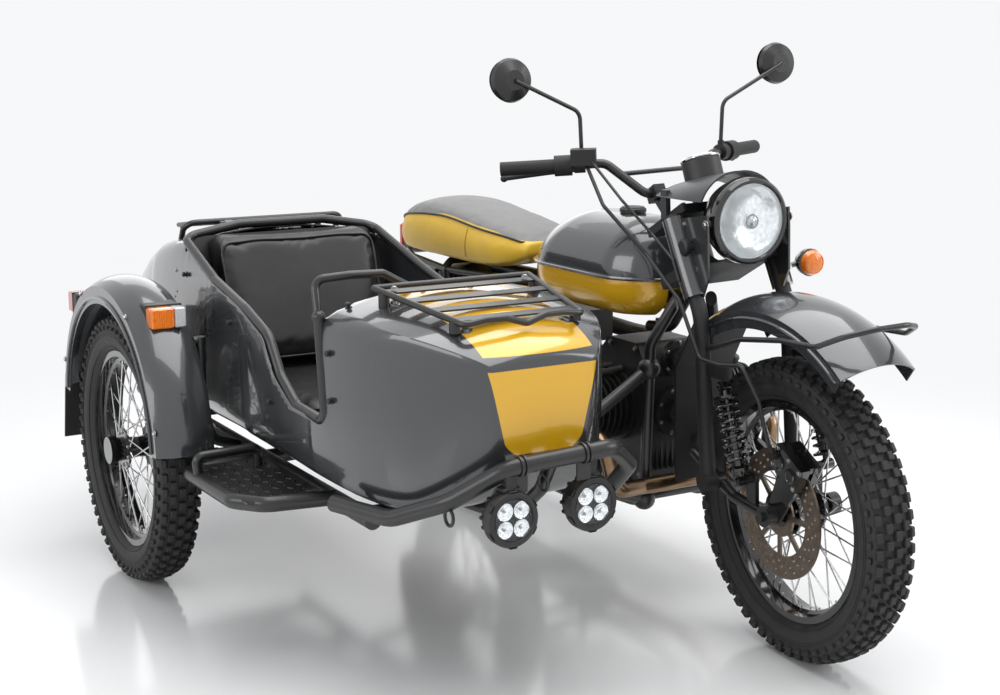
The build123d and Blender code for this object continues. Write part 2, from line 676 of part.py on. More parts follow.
indicator_stalk = tube([(1216, 148, 838), (1222, 178, 846)], 7)
with BuildPart() as front_indicator:
    add(indicator_stalk)
    with BuildSketch(Plane.YZ.offset(1206)):
        with Locations((200, 846)):
            Circle(30)
    extrude(amount=26)
    with BuildSketch(Plane.YZ.offset(1232)):
        with Locations((200, 846)):
            Circle(33)
    extrude(amount=26, taper=12)
write_piece(front_indicator.part, "front_indicator", True)

side_guard_part = make_guard(side_guard_radius, side_guard_half_width, 52, 18, 3, 172)
with BuildPart() as sidecar_mudguard:
    add(side_guard_part.moved(Location((side_guard_centre[0], -track, side_guard_centre[1]))))
    with Locations(Location((-228, -track, 376), (0, 12, 0))):
        Box(5, 132, 190)
write_piece(sidecar_mudguard.part, "sidecar_mudguard")

rear_guard_part = make_guard(rear_guard_radius, rear_guard_half_width, 50, 20, 66, 190)
with BuildPart() as rear_mudguard:
    add(rear_guard_part.moved(Location((0, 0, tyre_radius))))
write_piece(rear_mudguard.part, "rear_mudguard")


# ---------------------------------------------------------------- tank and seat
def pebble_section(x, half_width, low, high, low_share, high_share):
    """A closed section across the machine: a flat foot, bowed sides and a crowned top."""
    with BuildSketch(Plane(origin=(x, 0, 0), x_dir=(0, 1, 0), z_dir=(1, 0, 0))) as section:
        with BuildLine():
            foot = half_width * low_share
            top = half_width * high_share
            middle = (low + high) / 2
            l1 = Line((foot, low), (-foot, low))
            l2 = ThreePointArc(l1 @ 1, (-half_width, middle), (-top, high - (high - low) * 0.12))
            l3 = ThreePointArc(l2 @ 1, (0, high), (top, high - (high - low) * 0.12))
            ThreePointArc(l3 @ 1, (half_width, middle), l1 @ 0)
        make_face()
    return section.sketch


tank_length = tank_front_x - tank_rear_x
tank_middle_x = (tank_front_x + tank_rear_x) / 2
backbone_room = Pos(-tank_middle_x, 0, 0) * tube(backbone, backbone_radius + fit_gap, 90)
with BuildPart() as tank_top:
    with BuildSketch(Plane.XY.offset(tank_seam_z + 3)):
        SlotOverall(tank_length - 16, 2 * tank_half_width - 16)
    with BuildSketch(Plane.XY.offset(tank_seam_z + 70)):
        with Locations((14, 0)):
            SlotOverall(tank_length - 70, 2 * tank_half_width - 52)
    with BuildSketch(Plane.XY.offset(tank_seam_z + 118)):
        with Locations((36, 0)):
            SlotOverall(tank_length - 180, 2 * tank_half_width - 140)
    with BuildSketch(Plane.XY.offset(tank_top_z)):
        with Locations((44, 0)):
            SlotOverall(tank_length - 330, 2 * tank_half_width - 240)
    loft()
    with BuildSketch(Plane.XY.offset(tank_seam_z)):
        SlotOverall(tank_length, 2 * tank_half_width)
    extrude(amount=4)
    add(backbone_room, mode=Mode.SUBTRACT)
write_piece(tank_top.part.moved(Location((tank_middle_x, 0, 0))), "tank_top")

with BuildPart() as tank_base:
    with BuildSketch(Plane.XY.offset(tank_seam_z - 4)):
        SlotOverall(tank_length, 2 * tank_half_width)
    extrude(amount=4)
    with BuildSketch(Plane.XY.offset(tank_seam_z - 4)):
        SlotOverall(tank_length - 16, 2 * tank_half_width - 16)
    with BuildSketch(Plane.XY.offset(tank_seam_z - 58)):
        SlotOverall(tank_length - 30, 2 * tank_half_width - 28)
    with BuildSketch(Plane.XY.offset(tank_bottom_z)):
        SlotOverall(tank_length - 110, 2 * tank_half_width - 96)
    loft()
    with BuildSketch(Plane.XY.offset(tank_bottom_z - 1)):
        Rectangle(tank_length + 10, tunnel_width)
    extrude(amount=tunnel_height, mode=Mode.SUBTRACT)
    add(backbone_room, mode=Mode.SUBTRACT)
write_piece(tank_base.part.moved(Location((tank_middle_x, 0, 0))), "tank_base")

with BuildPart() as fuel_cap:
    with BuildSketch(Plane.XY.offset(tank_top_z + fit_gap)):
        Circle(30)
    extrude(amount=16)
    fillet(fuel_cap.edges().filter_by(GeomType.CIRCLE).sort_by(Axis.Z)[-1], 4)
write_piece(fuel_cap.part.moved(Location((tank_middle_x + 60, 0, 0))), "fuel_cap")

seat_table = [  # x, half width, underside z, top z
    (seat_rear_x, 96, 752, 812),
    (seat_rear_x + 70, 134, 742, 872),
    (40, 146, 738, 902),
    (260, 138, 742, 876),
    (seat_front_x - 6, 104, 790, 838),
]
with BuildPart() as seat:
    for x, half_width, low, high in seat_table:
        add(pebble_section(x, half_width, low, high, 0.9, 0.86))
    loft()
write_piece(seat.part, "seat")


# ---------------------------------------------------------------- frame
main_y = 98.0               # the cradle's two lower tubes
rear_y = 112.0              # the uprights stand outside the swinging arm
loop_y = 101.0
frame_pieces = [
    tube(backbone, backbone_radius, 90),
    tube([(head_x + 12, 0, head_z - 46), (970, 0, 672), (880, 0, 664)], 13, 60),
    tube([(20, -loop_y, 702), (-200, -loop_y, 716), (-312, -60, 722), (-312, 60, 722), (-200, loop_y, 716), (20, loop_y, 702)],
         11, 50),
    tube([(0, -loop_y, 703), (0, -78, 726.7), (0, 78, 726.7), (0, loop_y, 703)], 11, 16),
]
for side in (-1, 1):
    cradle = [(head_x + 12, side * 16, head_z - 40), (1020, side * main_y, 650), (1004, side * main_y, 250),
              (560, side * main_y, 222), (150, side * rear_y, 240), (74, side * rear_y, 420), (20, side * loop_y, 702)]
    frame_pieces.append(tube(cradle, 14, 56))
    frame_pieces.append(tube([(452, side * main_y, 220), (442, side * 101, 400), (430, side * 60, 722)], 11, 60))
    frame_pieces.append(tube([(430, side * 62, 716), (20, side * (loop_y - 2), 702)], 10))
    frame_pieces.append(Pos(-60, side * 102.5, 684) * Box(34, 12, 56))
for x, z, half in ((1004, 268, main_y), (560, 222, main_y), (452, 222, main_y), (430, 722, 60), (440, 344, 100)):
    frame_pieces.append(disc_along_y(x, 0, z, 12, 2 * half))
stem_room = head_turn * Cylinder(stem_radius + fit_gap, 400)
head_tube = head_turn * Cylinder(29, head_high - head_low)
over_head = head_turn * Pos(0, 0, (head_high - head_low) / 2 + 60) * Cylinder(90, 120)
under_head = head_turn * Pos(0, 0, -(head_high - head_low) / 2 - 60) * Cylinder(90, 120)
with BuildPart() as frame:
    add(frame_pieces)
    add(head_tube)
    add([stem_room, over_head, under_head], mode=Mode.SUBTRACT)
write_piece(frame.part, "frame")

# ---------------------------------------------------------------- engine
crank_x = 860.0
crank_z = 470.0
case_half_width = 82.0
case_front_x = 990.0
gearbox_rear_x = 520.0
cylinder_radius = 84.0
fin_count = 7
with BuildPart() as engine:
    with BuildSketch(Plane.XZ.offset(-case_half_width)):
        with BuildLine():
            Polyline((case_front_x - 14, 300), (case_front_x, 420), (case_front_x, 560), (case_front_x - 46, 636),
                     (crank_x - 40, 636), (crank_x - 110, 560), (gearbox_rear_x + 60, 560), (gearbox_rear_x, 500),
                     (gearbox_rear_x, 330), (gearbox_rear_x + 60, 280), (crank_x - 130, 280), (crank_x - 100, 262),
                     (case_front_x - 60, 262), close=True)
        make_face()
    extrude(amount=2 * case_half_width)
    fillet(engine.edges().filter_by(Axis.Y), 16)
    with Locations((crank_x, 0, crank_z)):
        Cylinder(cylinder_radius + 6, 2 * case_half_width + 24, rotation=(90, 0, 0))
    with BuildSketch(Plane.YZ.offset(case_front_x)):
        with Locations((0, 600)):
            Circle(46)
        with Locations((0, 470)):
            Circle(64)
    extrude(amount=16)
    with BuildSketch(Plane.YZ.offset(case_front_x)):
        with Locations((0, 600)):
            Circle(30)
        with Locations((0, 470)):
            Circle(34)
    extrude(amount=30)
write_piece(engine.part, "engine")

barrel_start = case_half_width + 12
barrel_length = 122.0
head_length = 96.0
cylinder_pieces = []
for side, stagger in ((-1, -14), (1, 14)):
    pitch = barrel_length / fin_count
    outline = [(0, 0)]
    for k in range(fin_count):
        foot = k * pitch
        outline += [(62, foot), (62, foot + pitch - 5), (cylinder_radius, foot + pitch - 5), (cylinder_radius, foot + pitch)]
    outline += [(0, barrel_length)]
    with BuildPart() as barrel:
        with BuildSketch(Plane.XZ):
            with BuildLine():
                Polyline(*outline, close=True)
            make_face()
        revolve(axis=Axis.Z)
        for k in range(5):
            with BuildSketch(Plane.XY.offset(barrel_length + 6 + k * 12)):
                RectangleRounded(172, 150, 30)
            extrude(amount=6)
        with BuildSketch(Plane.XY.offset(barrel_length)):
            RectangleRounded(140, 118, 24)
        extrude(amount=70)
        with BuildSketch(Plane.XY.offset(barrel_length + 66)):
            RectangleRounded(156, 128, 40)
        extrude(amount=head_length - 66, taper=14)
    turn = Plane(origin=(crank_x, side * (barrel_start + fit_gap), crank_z), x_dir=(1, 0, 0), z_dir=(0, side, 0))
    cylinder_pieces.append(turn * barrel.part)
with BuildPart() as cylinders:
    add(cylinder_pieces)
write_piece(cylinders.part, "cylinders")

head_y = barrel_start + barrel_length + 40
head_face = 86.0 + fit_gap
intake_pieces = []
for side in (-1, 1):
    intake_pieces.append(tube([(crank_x - head_face, side * head_y, crank_z + 40), (crank_x - 120, side * head_y, crank_z + 40),
                               (728, side * 170, 590), (690, side * 156, 590)], 17, 26))
    intake_pieces.append(Pos(700, side * 156, 590) * Rot(0, 90, 0) * Cylinder(31, 60))
    intake_pieces.append(Pos(706, side * 156, 556) * Cylinder(26, 50))
    intake_pieces.append(tube([(680, side * 156, 590), (636, side * 120, 600), (592, side * 60, 622)], 22, 30))
intake_pieces.append(Pos(560, 0, 622) * Box(132, 130, 84))
with BuildPart() as intakes:
    add(intake_pieces)
write_piece(intakes.part, "intakes")

pipe_radius = 20.0
silencer_radius = 48.0
silencer_z = 214.0
exhaust_pieces = [
    tube([(crank_x + head_face, -head_y, crank_z - 30), (1056, -head_y, crank_z - 30), (1072, -head_y + 30, 318),
          (1042, -136, 306), (1042, 136, 306), (1072, head_y - 30, 318), (1056, head_y, crank_z - 30),
          (crank_x + head_face, head_y, crank_z - 30)], pipe_radius, 40),
    tube([(1050, 156, 308), (960, 190, 280), (790, 192, silencer_z), (400, 190, silencer_z)], pipe_radius, 60),
    Pos(120, 190, silencer_z) * Rot(0, 90, 0) * Cylinder(silencer_radius, 620),
    Pos(-210, 190, silencer_z) * Rot(0, 90, 0) * Cylinder(22, 60),
]
with BuildPart() as exhaust:
    add(exhaust_pieces)
write_piece(exhaust.part, "exhaust")

# ---------------------------------------------------------------- rear end
arm_y = 74.0
swing_pieces = [disc_along_y(0, 0, tyre_radius, axle_radius, 2 * arm_y + 40), disc_along_y(440, 0, 344, 20, 2 * arm_y + 28)]
for side in (-1, 1):
    swing_pieces.append(tube([(440, side * arm_y, 344), (0, side * arm_y, tyre_radius)], 14))
    swing_pieces.append(disc_along_y(0, side * arm_y, tyre_radius, 26, 28))
    swing_pieces.append(Pos(-18, side * arm_y, tyre_radius + 16) * Box(40, 12, 60))
    swing_pieces.append(disc_along_y(-20, side * 96, 362, 10, 25.4))
swing_pieces.append(disc_along_y(0, -arm_y, tyre_radius, 78, 27))
pivot_room = disc_along_y(440, 0, 344, 12 + fit_gap, 400)
with BuildPart() as swingarm:
    add(swing_pieces)
    add(pivot_room, mode=Mode.SUBTRACT)
write_piece(swingarm.part, "swingarm")

rear_shock_list = [shock((-20, 362), (-60, 674), side * 120) for side in (-1, 1)]
with BuildPart() as rear_shocks:
    add(rear_shock_list)
write_piece(rear_shocks.part, "rear_shocks")

peg_pieces = []
for side in (-1, 1):
    peg_pieces.append(tube([(600, side * (main_y + 14 + fit_gap), 224), (600, side * 136, 224), (600, side * 156, 252),
                            (600, side * 268, 282)], 9, 12))
    peg_pieces.append(tube([(600, side * 166, 255), (600, side * 272, 283)], 15))
    peg_pieces.append(tube([(600, side * 130, 226), (700, side * 136, 250), (800, side * 150, 308)], 7, 40))
    peg_pieces.append(Pos(800, side * 165, 310) * Box(60, 44, 12))
with BuildPart() as foot_pegs:
    add(peg_pieces)
write_piece(foot_pegs.part, "foot_pegs")

with BuildPart() as tail_lamp:
    with Locations((-352, 0, 748)):
        Box(54, 86, 84)
    with Locations((-386, 0, 750)):
        Box(22, 92, 92)
    fillet(tail_lamp.edges().filter_by(Axis.X), 8)
    with Locations((-330, 0, 738)):
        Box(14, 60, 30)
write_piece(tail_lamp.part, "tail_lamp")

# ---------------------------------------------------------------- sidecar body
tub_y = -tub_offset
tub_table = [  # x, half widths at the floor, the turn-under and the shoulder; heights of floor, turn-under, shoulder, crown
    (-600, 120, 172, 150, 480, 530, 598, 616),
    (-440, 170, 236, 205, 440, 490, 700, 736),
    (-120, 225, 275, 262, 408, 458, 812, 852),
    (105, 232, 286, 275, 405, 455, 842, 876),
    (1000, 238, 302, 300, 405, 455, 792, 838),
    (1270, 190, 232, 232, 408, 455, 784, 816),
    (1425, 86, 118, 138, 520, 560, 748, 766),
]


def tub_section(row, inset):
    """One closed section across the sidecar body: floor, turn-unders, bowed sides and a crowned top."""
    x, floor_half, low_half, top_half, floor, low, shoulder, crown = row
    with BuildSketch(Plane(origin=(x, tub_y, 0), x_dir=(0, 1, 0), z_dir=(1, 0, 0))) as section:
        with BuildLine():
            f, w, t = floor_half - inset, low_half - inset, top_half - inset
            zf, zs, zc = floor + inset, shoulder - inset, crown - inset
            l1 = Line((f, zf), (-f, zf))
            l2 = ThreePointArc(l1 @ 1, (-f - (w - f) * 0.72, zf + (low - zf) * 0.3), (-w, low))
            l3 = ThreePointArc(l2 @ 1, (-(w + t) / 2 - 8, (low + zs) / 2), (-t, zs))
            l4 = ThreePointArc(l3 @ 1, (0, zc), (t, zs))
            l5 = ThreePointArc(l4 @ 1, ((w + t) / 2 + 8, (low + zs) / 2), (w, low))
            ThreePointArc(l5 @ 1, (f + (w - f) * 0.72, zf + (low - zf) * 0.3), l1 @ 0)
        make_face()
    return section.sketch


def tub_solid(inset):
    """The body's outside, or with an inset the room inside its walls."""
    with BuildPart() as solid:
        for k, row in enumerate(tub_table):
            ends = inset if k == 0 else -inset if k == len(tub_table) - 1 else 0
            add(tub_section((row[0] + ends, *row[1:]), inset))
        loft()
    return solid.part


def side_y(x, side):
    """The y of the body's rim at x; side is -1 on the right and 1 on the left."""
    return tub_y + side * (275 + 25 * (x - 105) / 900)


entry_rim = [  # x, z of the open rim on the right, from the low front post to the back
    (1004, 790), (1034, 566), (870, 570), (778, 618), (708, 700), (560, 742), (350, 782), (back_x, 846),
]
inner_rim = [(985, 786), (800, 744), (500, 742), (350, 782), (back_x, 846)]
with BuildPart() as opening:
    for rim, start, reach in ((entry_rim, -tub_y, 400), (inner_rim, -tub_y - 400, 400)):
        with BuildSketch(Plane.XZ.offset(start)):
            with BuildLine():
                Polyline(*rim, (back_x, 1000), (rim[0][0], 1000), close=True)
            make_face()
        extrude(amount=reach)
rim_path = [(x, side_y(x, -1), z) for x, z in entry_rim[:-1]]
rim_path += [(back_x, side_y(back_x, -1) + 4, 860), (back_x, tub_y - 120, 886), (back_x, tub_y + 120, 886),
             (back_x, side_y(back_x, 1) - 4, 860)]
rim_path += [(x, side_y(x, 1), z) for x, z in reversed(inner_rim[:-1])]
rim_radii = [30, 60, 60, 60, 80, 90, 40, 90, 90, 40, 90, 60, 60]
grab_bar = [(1004, side_y(1004, -1), 782), (974, side_y(980, -1) + 4, 866), (1000, -878, 874), (1000, -800, 872),
            (1004, -728, 832)]


def rim_tube(radius):
    """The coaming's tube at some radius along the open rim."""
    with BuildPart() as run:
        with BuildLine() as path:
            FilletPolyline(*rim_path, radius=rim_radii)
        with BuildSketch(Plane(origin=path.line @ 0, z_dir=path.line % 0)):
            Circle(radius)
        sweep()
    return run.part


rim_bar = rim_tube(coaming_radius)
rim_room = rim_tube(coaming_radius + fit_gap)
grab_piece = tube(grab_bar, 9, 24)
grab_room = tube(grab_bar, 9 + fit_gap, 24)
rim_knuckle = Pos(*rim_path[0]) * Sphere(coaming_radius + 3)
knuckle_room = Pos(*rim_path[0]) * Sphere(coaming_radius + 3 + fit_gap)
with BuildPart() as coaming:
    add([rim_bar, grab_piece, rim_knuckle])
write_piece(coaming.part, "coaming")

tub_outside = tub_solid(0)
tub_inside = tub_solid(tub_wall)


def lid_plan(grow):
    """The block over the trunk lid's outline, larger all round by grow."""
    front = lid_front_x + grow
    rear = lid_rear_x - grow
    with BuildPart() as block:
        with BuildSketch(Plane.XY.offset(620)):
            with BuildLine():
                Polyline((front, tub_y - lid_front_half - grow), (front, tub_y + lid_front_half + grow),
                         (rear, tub_y + lid_rear_half + grow), (rear, tub_y - lid_rear_half - grow), close=True)
            make_face()
        extrude(amount=400)
    return block.part


hinge_x = 31.0
hinge_z = 880.0
hinge_pin_radius = 4.0
hinge_span = 120.0
hinge_blocks = []
hinge_arms = []
hinge_pins = []
for side in (-1, 1):
    y = tub_y + side * hinge_span
    hinge_pins.append(disc_along_y(hinge_x, y, hinge_z, hinge_pin_radius, 46))
    hinge_arms.append(disc_along_y(hinge_x, y, hinge_z, 9, 22))
    hinge_arms.append(Pos(8, y, 871.7) * Box(46, 22, 8))
    hinge_arms.append(Pos(-4, y, 864) * Box(22, 22, 24))
    for end in (-1, 1):
        hinge_blocks.append(Pos(hinge_x + 5, y + end * 18, 871) * Box(26, 8, 32))
hinge_rooms = [disc_along_y(hinge_x, tub_y + side * hinge_span, hinge_z, hinge_pin_radius + fit_gap, 60) for side in (-1, 1)]
lid_block = lid_plan(0)
lid_hole = lid_plan(lid_gap)
tub_room = tub_solid(-fit_gap)
with BuildPart() as bulkhead:
    with BuildSketch(Plane.XZ.offset(-tub_y - 400)):
        with BuildLine():
            Polyline((108, 862), (114, 862), (240, 410), (234, 410), close=True)
        make_face()
    extrude(amount=800)
    with Locations((490, tub_y, 420)):
        Box(500, 460, 32)
    add(tub_outside, mode=Mode.INTERSECT)
with BuildPart() as sidecar_body:
    add(tub_outside)
    add(tub_inside, mode=Mode.SUBTRACT)
    add([bulkhead.part, *hinge_blocks])
    add([opening.part, rim_room, grab_room, knuckle_room, lid_hole], mode=Mode.SUBTRACT)
    add(hinge_pins)
write_piece(sidecar_body.part, "sidecar_body")

with BuildPart() as trunk_lid:
    add(tub_outside)
    add(tub_inside, mode=Mode.SUBTRACT)
    add(lid_block, mode=Mode.INTERSECT)
    add(hinge_arms)
    add(hinge_rooms, mode=Mode.SUBTRACT)
write_piece(trunk_lid.part, "trunk_lid")

# Trunk rack on the lid and nose rack on the cowl: tube frames with slats, on feet cut to the body's skin
rack_half = 232.0
rack_pieces = [
    tube([(-52, tub_y - rack_half + 8, 832), (0, tub_y - rack_half, 884), (0, tub_y + rack_half, 884),
          (-52, tub_y + rack_half - 8, 832)], rack_radius, 30),
    tube([(0, tub_y - 150, 884), (-360, tub_y - 130, 836), (-360, tub_y + 130, 836), (0, tub_y + 150, 884)], 7, 40),
]
for offset in (-50, 50):
    rack_pieces.append(tube([(0, tub_y + offset, 884), (-360, tub_y + offset, 836)], 6))
for offset in (-132, 132):
    rack_pieces.append(tube([(-300, tub_y + offset, 840), (-300, tub_y + offset, 770)], 6))
with BuildPart() as trunk_rack:
    add(rack_pieces)
    add(tub_room, mode=Mode.SUBTRACT)
write_piece(trunk_rack.part, "trunk_rack")

nose_rear = (1050.0, 193.0, 850.0)      # x, half width, z
nose_front = (1350.0, 140.0, 812.0)
nose_tube = 7.0
nose_wave = 7.0             # how far the front rail rises and dips
front_waves = [(-1, 0), (-0.66, 1), (-0.34, 1), (0, -1), (0.34, 1), (0.66, 1), (1, 0)]      # share of the half width, up or down
front_rail = [(nose_front[0] + 8 * (1 - abs(share)), share * nose_front[1], nose_front[2] + nose_wave * up)
              for share, up in front_waves]
rack_loop = [(nose_rear[0], -nose_rear[1], nose_rear[2]), *front_rail, (nose_rear[0], nose_rear[1], nose_rear[2])]
rack_loop = [(x, tub_y + y, z) for x, y, z in rack_loop]
nose_pieces = [tube(rack_loop, nose_tube, 18), tube([rack_loop[-1], rack_loop[0]], nose_tube)]
for k in range(4):
    share = (k + 0.5) / 4
    half = nose_rear[1] + (nose_front[1] - nose_rear[1]) * share
    x = nose_rear[0] + (nose_front[0] - nose_rear[0]) * share
    z = nose_rear[2] + (nose_front[2] - nose_rear[2]) * share
    nose_pieces.append(Pos(x, tub_y, z) * Rot(0, 8, 0) * Box(26, 2 * half - 4, 4))
for x, y, z in ((1086, 186, 846), (1316, 144, 817)):
    for side in (-1, 1):
        nose_pieces.append(Pos(x, tub_y + side * y, z - 30) * Cylinder(12, 56))
with BuildPart() as nose_rack:
    add(nose_pieces)
    add(tub_room, mode=Mode.SUBTRACT)
write_piece(nose_rack.part, "nose_rack")

# ---------------------------------------------------------------- sidecar seat
with BuildPart() as sidecar_cushion:
    with BuildSketch(Plane.XY.offset(436 + fit_gap)):
        with Locations((492, tub_y)):
            RectangleRounded(500, 430, 50)
    extrude(amount=96)
    fillet(sidecar_cushion.faces().sort_by(Axis.Z)[-1].edges(), 26)
write_piece(sidecar_cushion.part, "sidecar_cushion")

with BuildPart() as sidecar_backrest:
    with BuildSketch(Plane.XZ.offset(-tub_y - 232)):
        with BuildLine():
            Polyline((120.4, 840), (122, 868), (140, 882), (190, 880), (214, 862), (330, 566), (318, 542), (204.6, 542), close=True)
        make_face()
    extrude(amount=464)
    with BuildSketch(Plane.YZ.offset(100)):
        with Locations((tub_y, 713)):
            RectangleRounded(464, 342, 48)
    extrude(amount=250, mode=Mode.INTERSECT)
write_piece(sidecar_backrest.part, "sidecar_backrest")

# ---------------------------------------------------------------- sidecar frame
rail_front_x = 1150.0
rail_rear_x = -350.0
arm_side_y = -1012.0
side_pieces = []
for y in (rail_right_y, rail_left_y):
    side_pieces.append(tube([(rail_rear_x, y, rail_z), (rail_front_x, y, rail_z)], rail_radius))
for x in (-300, 0, 550, 1100):
    side_pieces.append(tube([(x, rail_right_y, rail_z), (x, rail_left_y, rail_z)], 18))
for x, y in ((0, 150), (550, 150), (1100, 120)):
    for side in (-1, 1):
        side_pieces.append(Pos(x, tub_y + side * y, 395) * Cylinder(28, 40))
side_pieces.append(disc_along_y(500, rail_right_y - 50, rail_z, 24, 90))
for x in (430, -60):
    side_pieces.append(tube([(x, rail_right_y, rail_z), (x, -985, 400), (x, -1012, 480), (x, -1012, 660)], 13, 30))
    side_pieces.append(disc_along_y(x, -1020, 650, 12, 17.4))
for side in (-1, 1):
    side_pieces.append(Pos(412, arm_side_y + side * 13.8, 612) * Box(44, 5, 30))
strut_list = [  # from the sidecar's frame to the motorcycle's: x, y, z of both ends
    ((1050, rail_left_y, rail_z), (1004, -main_y, 262)),
    ((990, rail_left_y, rail_z + 4), (1016, -main_y, 590)),
    ((70, rail_left_y, rail_z), (118, -rear_y, 316)),
    ((90, rail_left_y, rail_z + 4), (47, -rear_y + 4, 560)),
]
for low, high in strut_list:
    side_pieces.append(tube([low, high], 15))
    side_pieces.append(Pos(*high) * Sphere(28))
with BuildPart() as frame_room:
    for side in (-1,):
        cradle = [(head_x + 12, side * 16, head_z - 40), (1020, side * main_y, 650), (1004, side * main_y, 250),
                  (560, side * main_y, 222), (150, side * rear_y, 240), (74, side * rear_y, 420), (20, side * loop_y, 702)]
        add(tube(cradle, 14 + fit_gap, 56))
strut_room = disc_along_y(1004, 0, 268, 12 + fit_gap, 2 * main_y)
with BuildPart() as sidecar_frame:
    add(side_pieces)
    add([frame_room.part, strut_room, tub_room], mode=Mode.SUBTRACT)
write_piece(sidecar_frame.part, "sidecar_frame")
rail_room = tube([(rail_rear_x, rail_right_y, rail_z), (rail_front_x, rail_right_y, rail_z)], rail_radius + fit_gap)

pivot_space = disc_along_y(500, rail_right_y - 50, rail_z, 24 + fit_gap, 90 + 2 * fit_gap)
side_swing = [
    disc_along_y(500, arm_side_y, rail_z, 26, 22),
    tube([(500, arm_side_y, rail_z), (sidecar_lead, arm_side_y, tyre_radius)], 15),
    disc_along_y(sidecar_lead, arm_side_y - 2, tyre_radius, 34, 34),
    disc_along_y(sidecar_lead, (arm_side_y - track - 50) / 2, tyre_radius, axle_radius, track + 50 + arm_side_y),
    Pos(262, arm_side_y, 372) * Box(30, 16, 40),
    shock((262, 386), (402, 612), arm_side_y, 16.5, 8, 11.0),
]
with BuildPart() as sidecar_swingarm:
    add(side_swing)
    add(pivot_space, mode=Mode.SUBTRACT)
write_piece(sidecar_swingarm.part, "sidecar_swingarm")

# ---------------------------------------------------------------- step, bumper and lamps
step_pieces = [
    tube([(560, rail_right_y, rail_z), (560, -1105, rail_z - 4), (860, -1105, rail_z), (935, -1060, rail_z + 4),
          (960, rail_right_y, rail_z + 4)], 18, 45),
    tube([(650, -1105, rail_z), (650, -1112, 424), (650, -960, 428), (650, -960, rail_z)], 11, 16),
    Pos(760, -1010, rail_z + 10) * Box(340, 180, 5),
]
with BuildPart() as step:
    add(step_pieces)
    add(rail_room, mode=Mode.SUBTRACT)
    with Locations((760, rail_right_y + 60, rail_z)):
        Box(600, 120, 80, mode=Mode.SUBTRACT)
write_piece(step.part, "step")

bumper_path = [(1105, -975, 410), (1270, -925, 412), (1400, -862, 470), (1482, -770, 548), (1490, -530, 560),
               (1430, -446, 500), (1270, rail_left_y, rail_z), (rail_front_x + fit_gap, rail_left_y, rail_z)]
bumper_bends = [90, 90, 60, 60, 60, 90]
bumper_pieces = [tube(bumper_path, bumper_radius, bumper_bends)]
bumper_pieces.append(tube([(1124, -968, 410), (1124, rail_right_y, rail_z)], 12))
bumper_pieces.append(tube([(1100, -672, rail_z), (1330, -672, 392), (1440, -672, 480), (1484, -672, 554)], 14, 40))
cross_room = tube([(1100, rail_right_y, rail_z), (1100, rail_left_y, rail_z)], 18 + fit_gap)
with BuildPart() as bumper:
    add(bumper_pieces)
    add([rail_room, cross_room], mode=Mode.SUBTRACT)
write_piece(bumper.part, "bumper")

bumper_room = tube(bumper_path, bumper_radius + fit_gap, bumper_bends)
drive_lamps = []
for x, y, z in ((1500, -770, 445), (1490, -575, 445)):
    with BuildPart() as lamp:
        with BuildSketch(Plane.XZ):
            with BuildLine():
                Polyline((0, 0), (0, 52), (-4, 57.5), (-26, 57.5), (-26, 50), (-32, 50), (-32, 54), (-38, 54), (-38, 47),
                         (-44, 47), (-44, 50), (-50, 50), (-50, 30), (-62, 26), (-62, 0), close=True)
            make_face()
        revolve(axis=Axis.X)
    drive_lamps.append(Pos(x, y, z) * lamp.part)
    drive_lamps.append(Pos(x - 18, y, z + 72) * Box(22, 26, 60))
with BuildPart() as driving_lamps:
    add(drive_lamps)
    add(bumper_room, mode=Mode.SUBTRACT)
write_piece(driving_lamps.part, "driving_lamps")

guard_room = disc_along_y(side_guard_centre[0], -track, side_guard_centre[1], side_guard_radius + fit_gap, 220)
with BuildPart() as sidecar_lamps:
    with Locations((392, -1090, 714)):
        Box(120, 90, 56)
    with Locations((-166, -1112, 668)):
        Box(84, 78, 58)
    fillet(sidecar_lamps.edges().filter_by(Axis.X), 8)
    add(guard_room, mode=Mode.SUBTRACT)
write_piece(sidecar_lamps.part, "sidecar_lamps")

with BuildPart() as side_boxes:
    for side in (-1, 1):
        with Locations((352, side * 90, 620.8)):
            Box(122, 84, 160)
    fillet(side_boxes.edges().filter_by(Axis.Y), 14)
write_piece(side_boxes.part, "side_boxes")
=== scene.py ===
import bpy
import bmesh
from math import acos, atan2, cos, hypot, pi, radians, sin, sqrt, tan
from mathutils import Matrix, Vector, noise


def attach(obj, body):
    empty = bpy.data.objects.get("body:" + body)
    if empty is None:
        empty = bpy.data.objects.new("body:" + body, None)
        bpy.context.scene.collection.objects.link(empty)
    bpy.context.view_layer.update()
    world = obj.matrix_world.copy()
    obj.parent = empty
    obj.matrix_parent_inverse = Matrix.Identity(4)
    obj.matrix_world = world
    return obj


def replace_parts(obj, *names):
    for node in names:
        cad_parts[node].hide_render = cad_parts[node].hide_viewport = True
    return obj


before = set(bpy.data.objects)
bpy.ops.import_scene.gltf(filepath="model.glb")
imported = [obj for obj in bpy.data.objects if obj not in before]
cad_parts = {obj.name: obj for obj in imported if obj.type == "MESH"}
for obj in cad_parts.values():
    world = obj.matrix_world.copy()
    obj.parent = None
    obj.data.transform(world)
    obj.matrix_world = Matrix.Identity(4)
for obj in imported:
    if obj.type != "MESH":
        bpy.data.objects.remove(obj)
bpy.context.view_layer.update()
print("frame loaded")

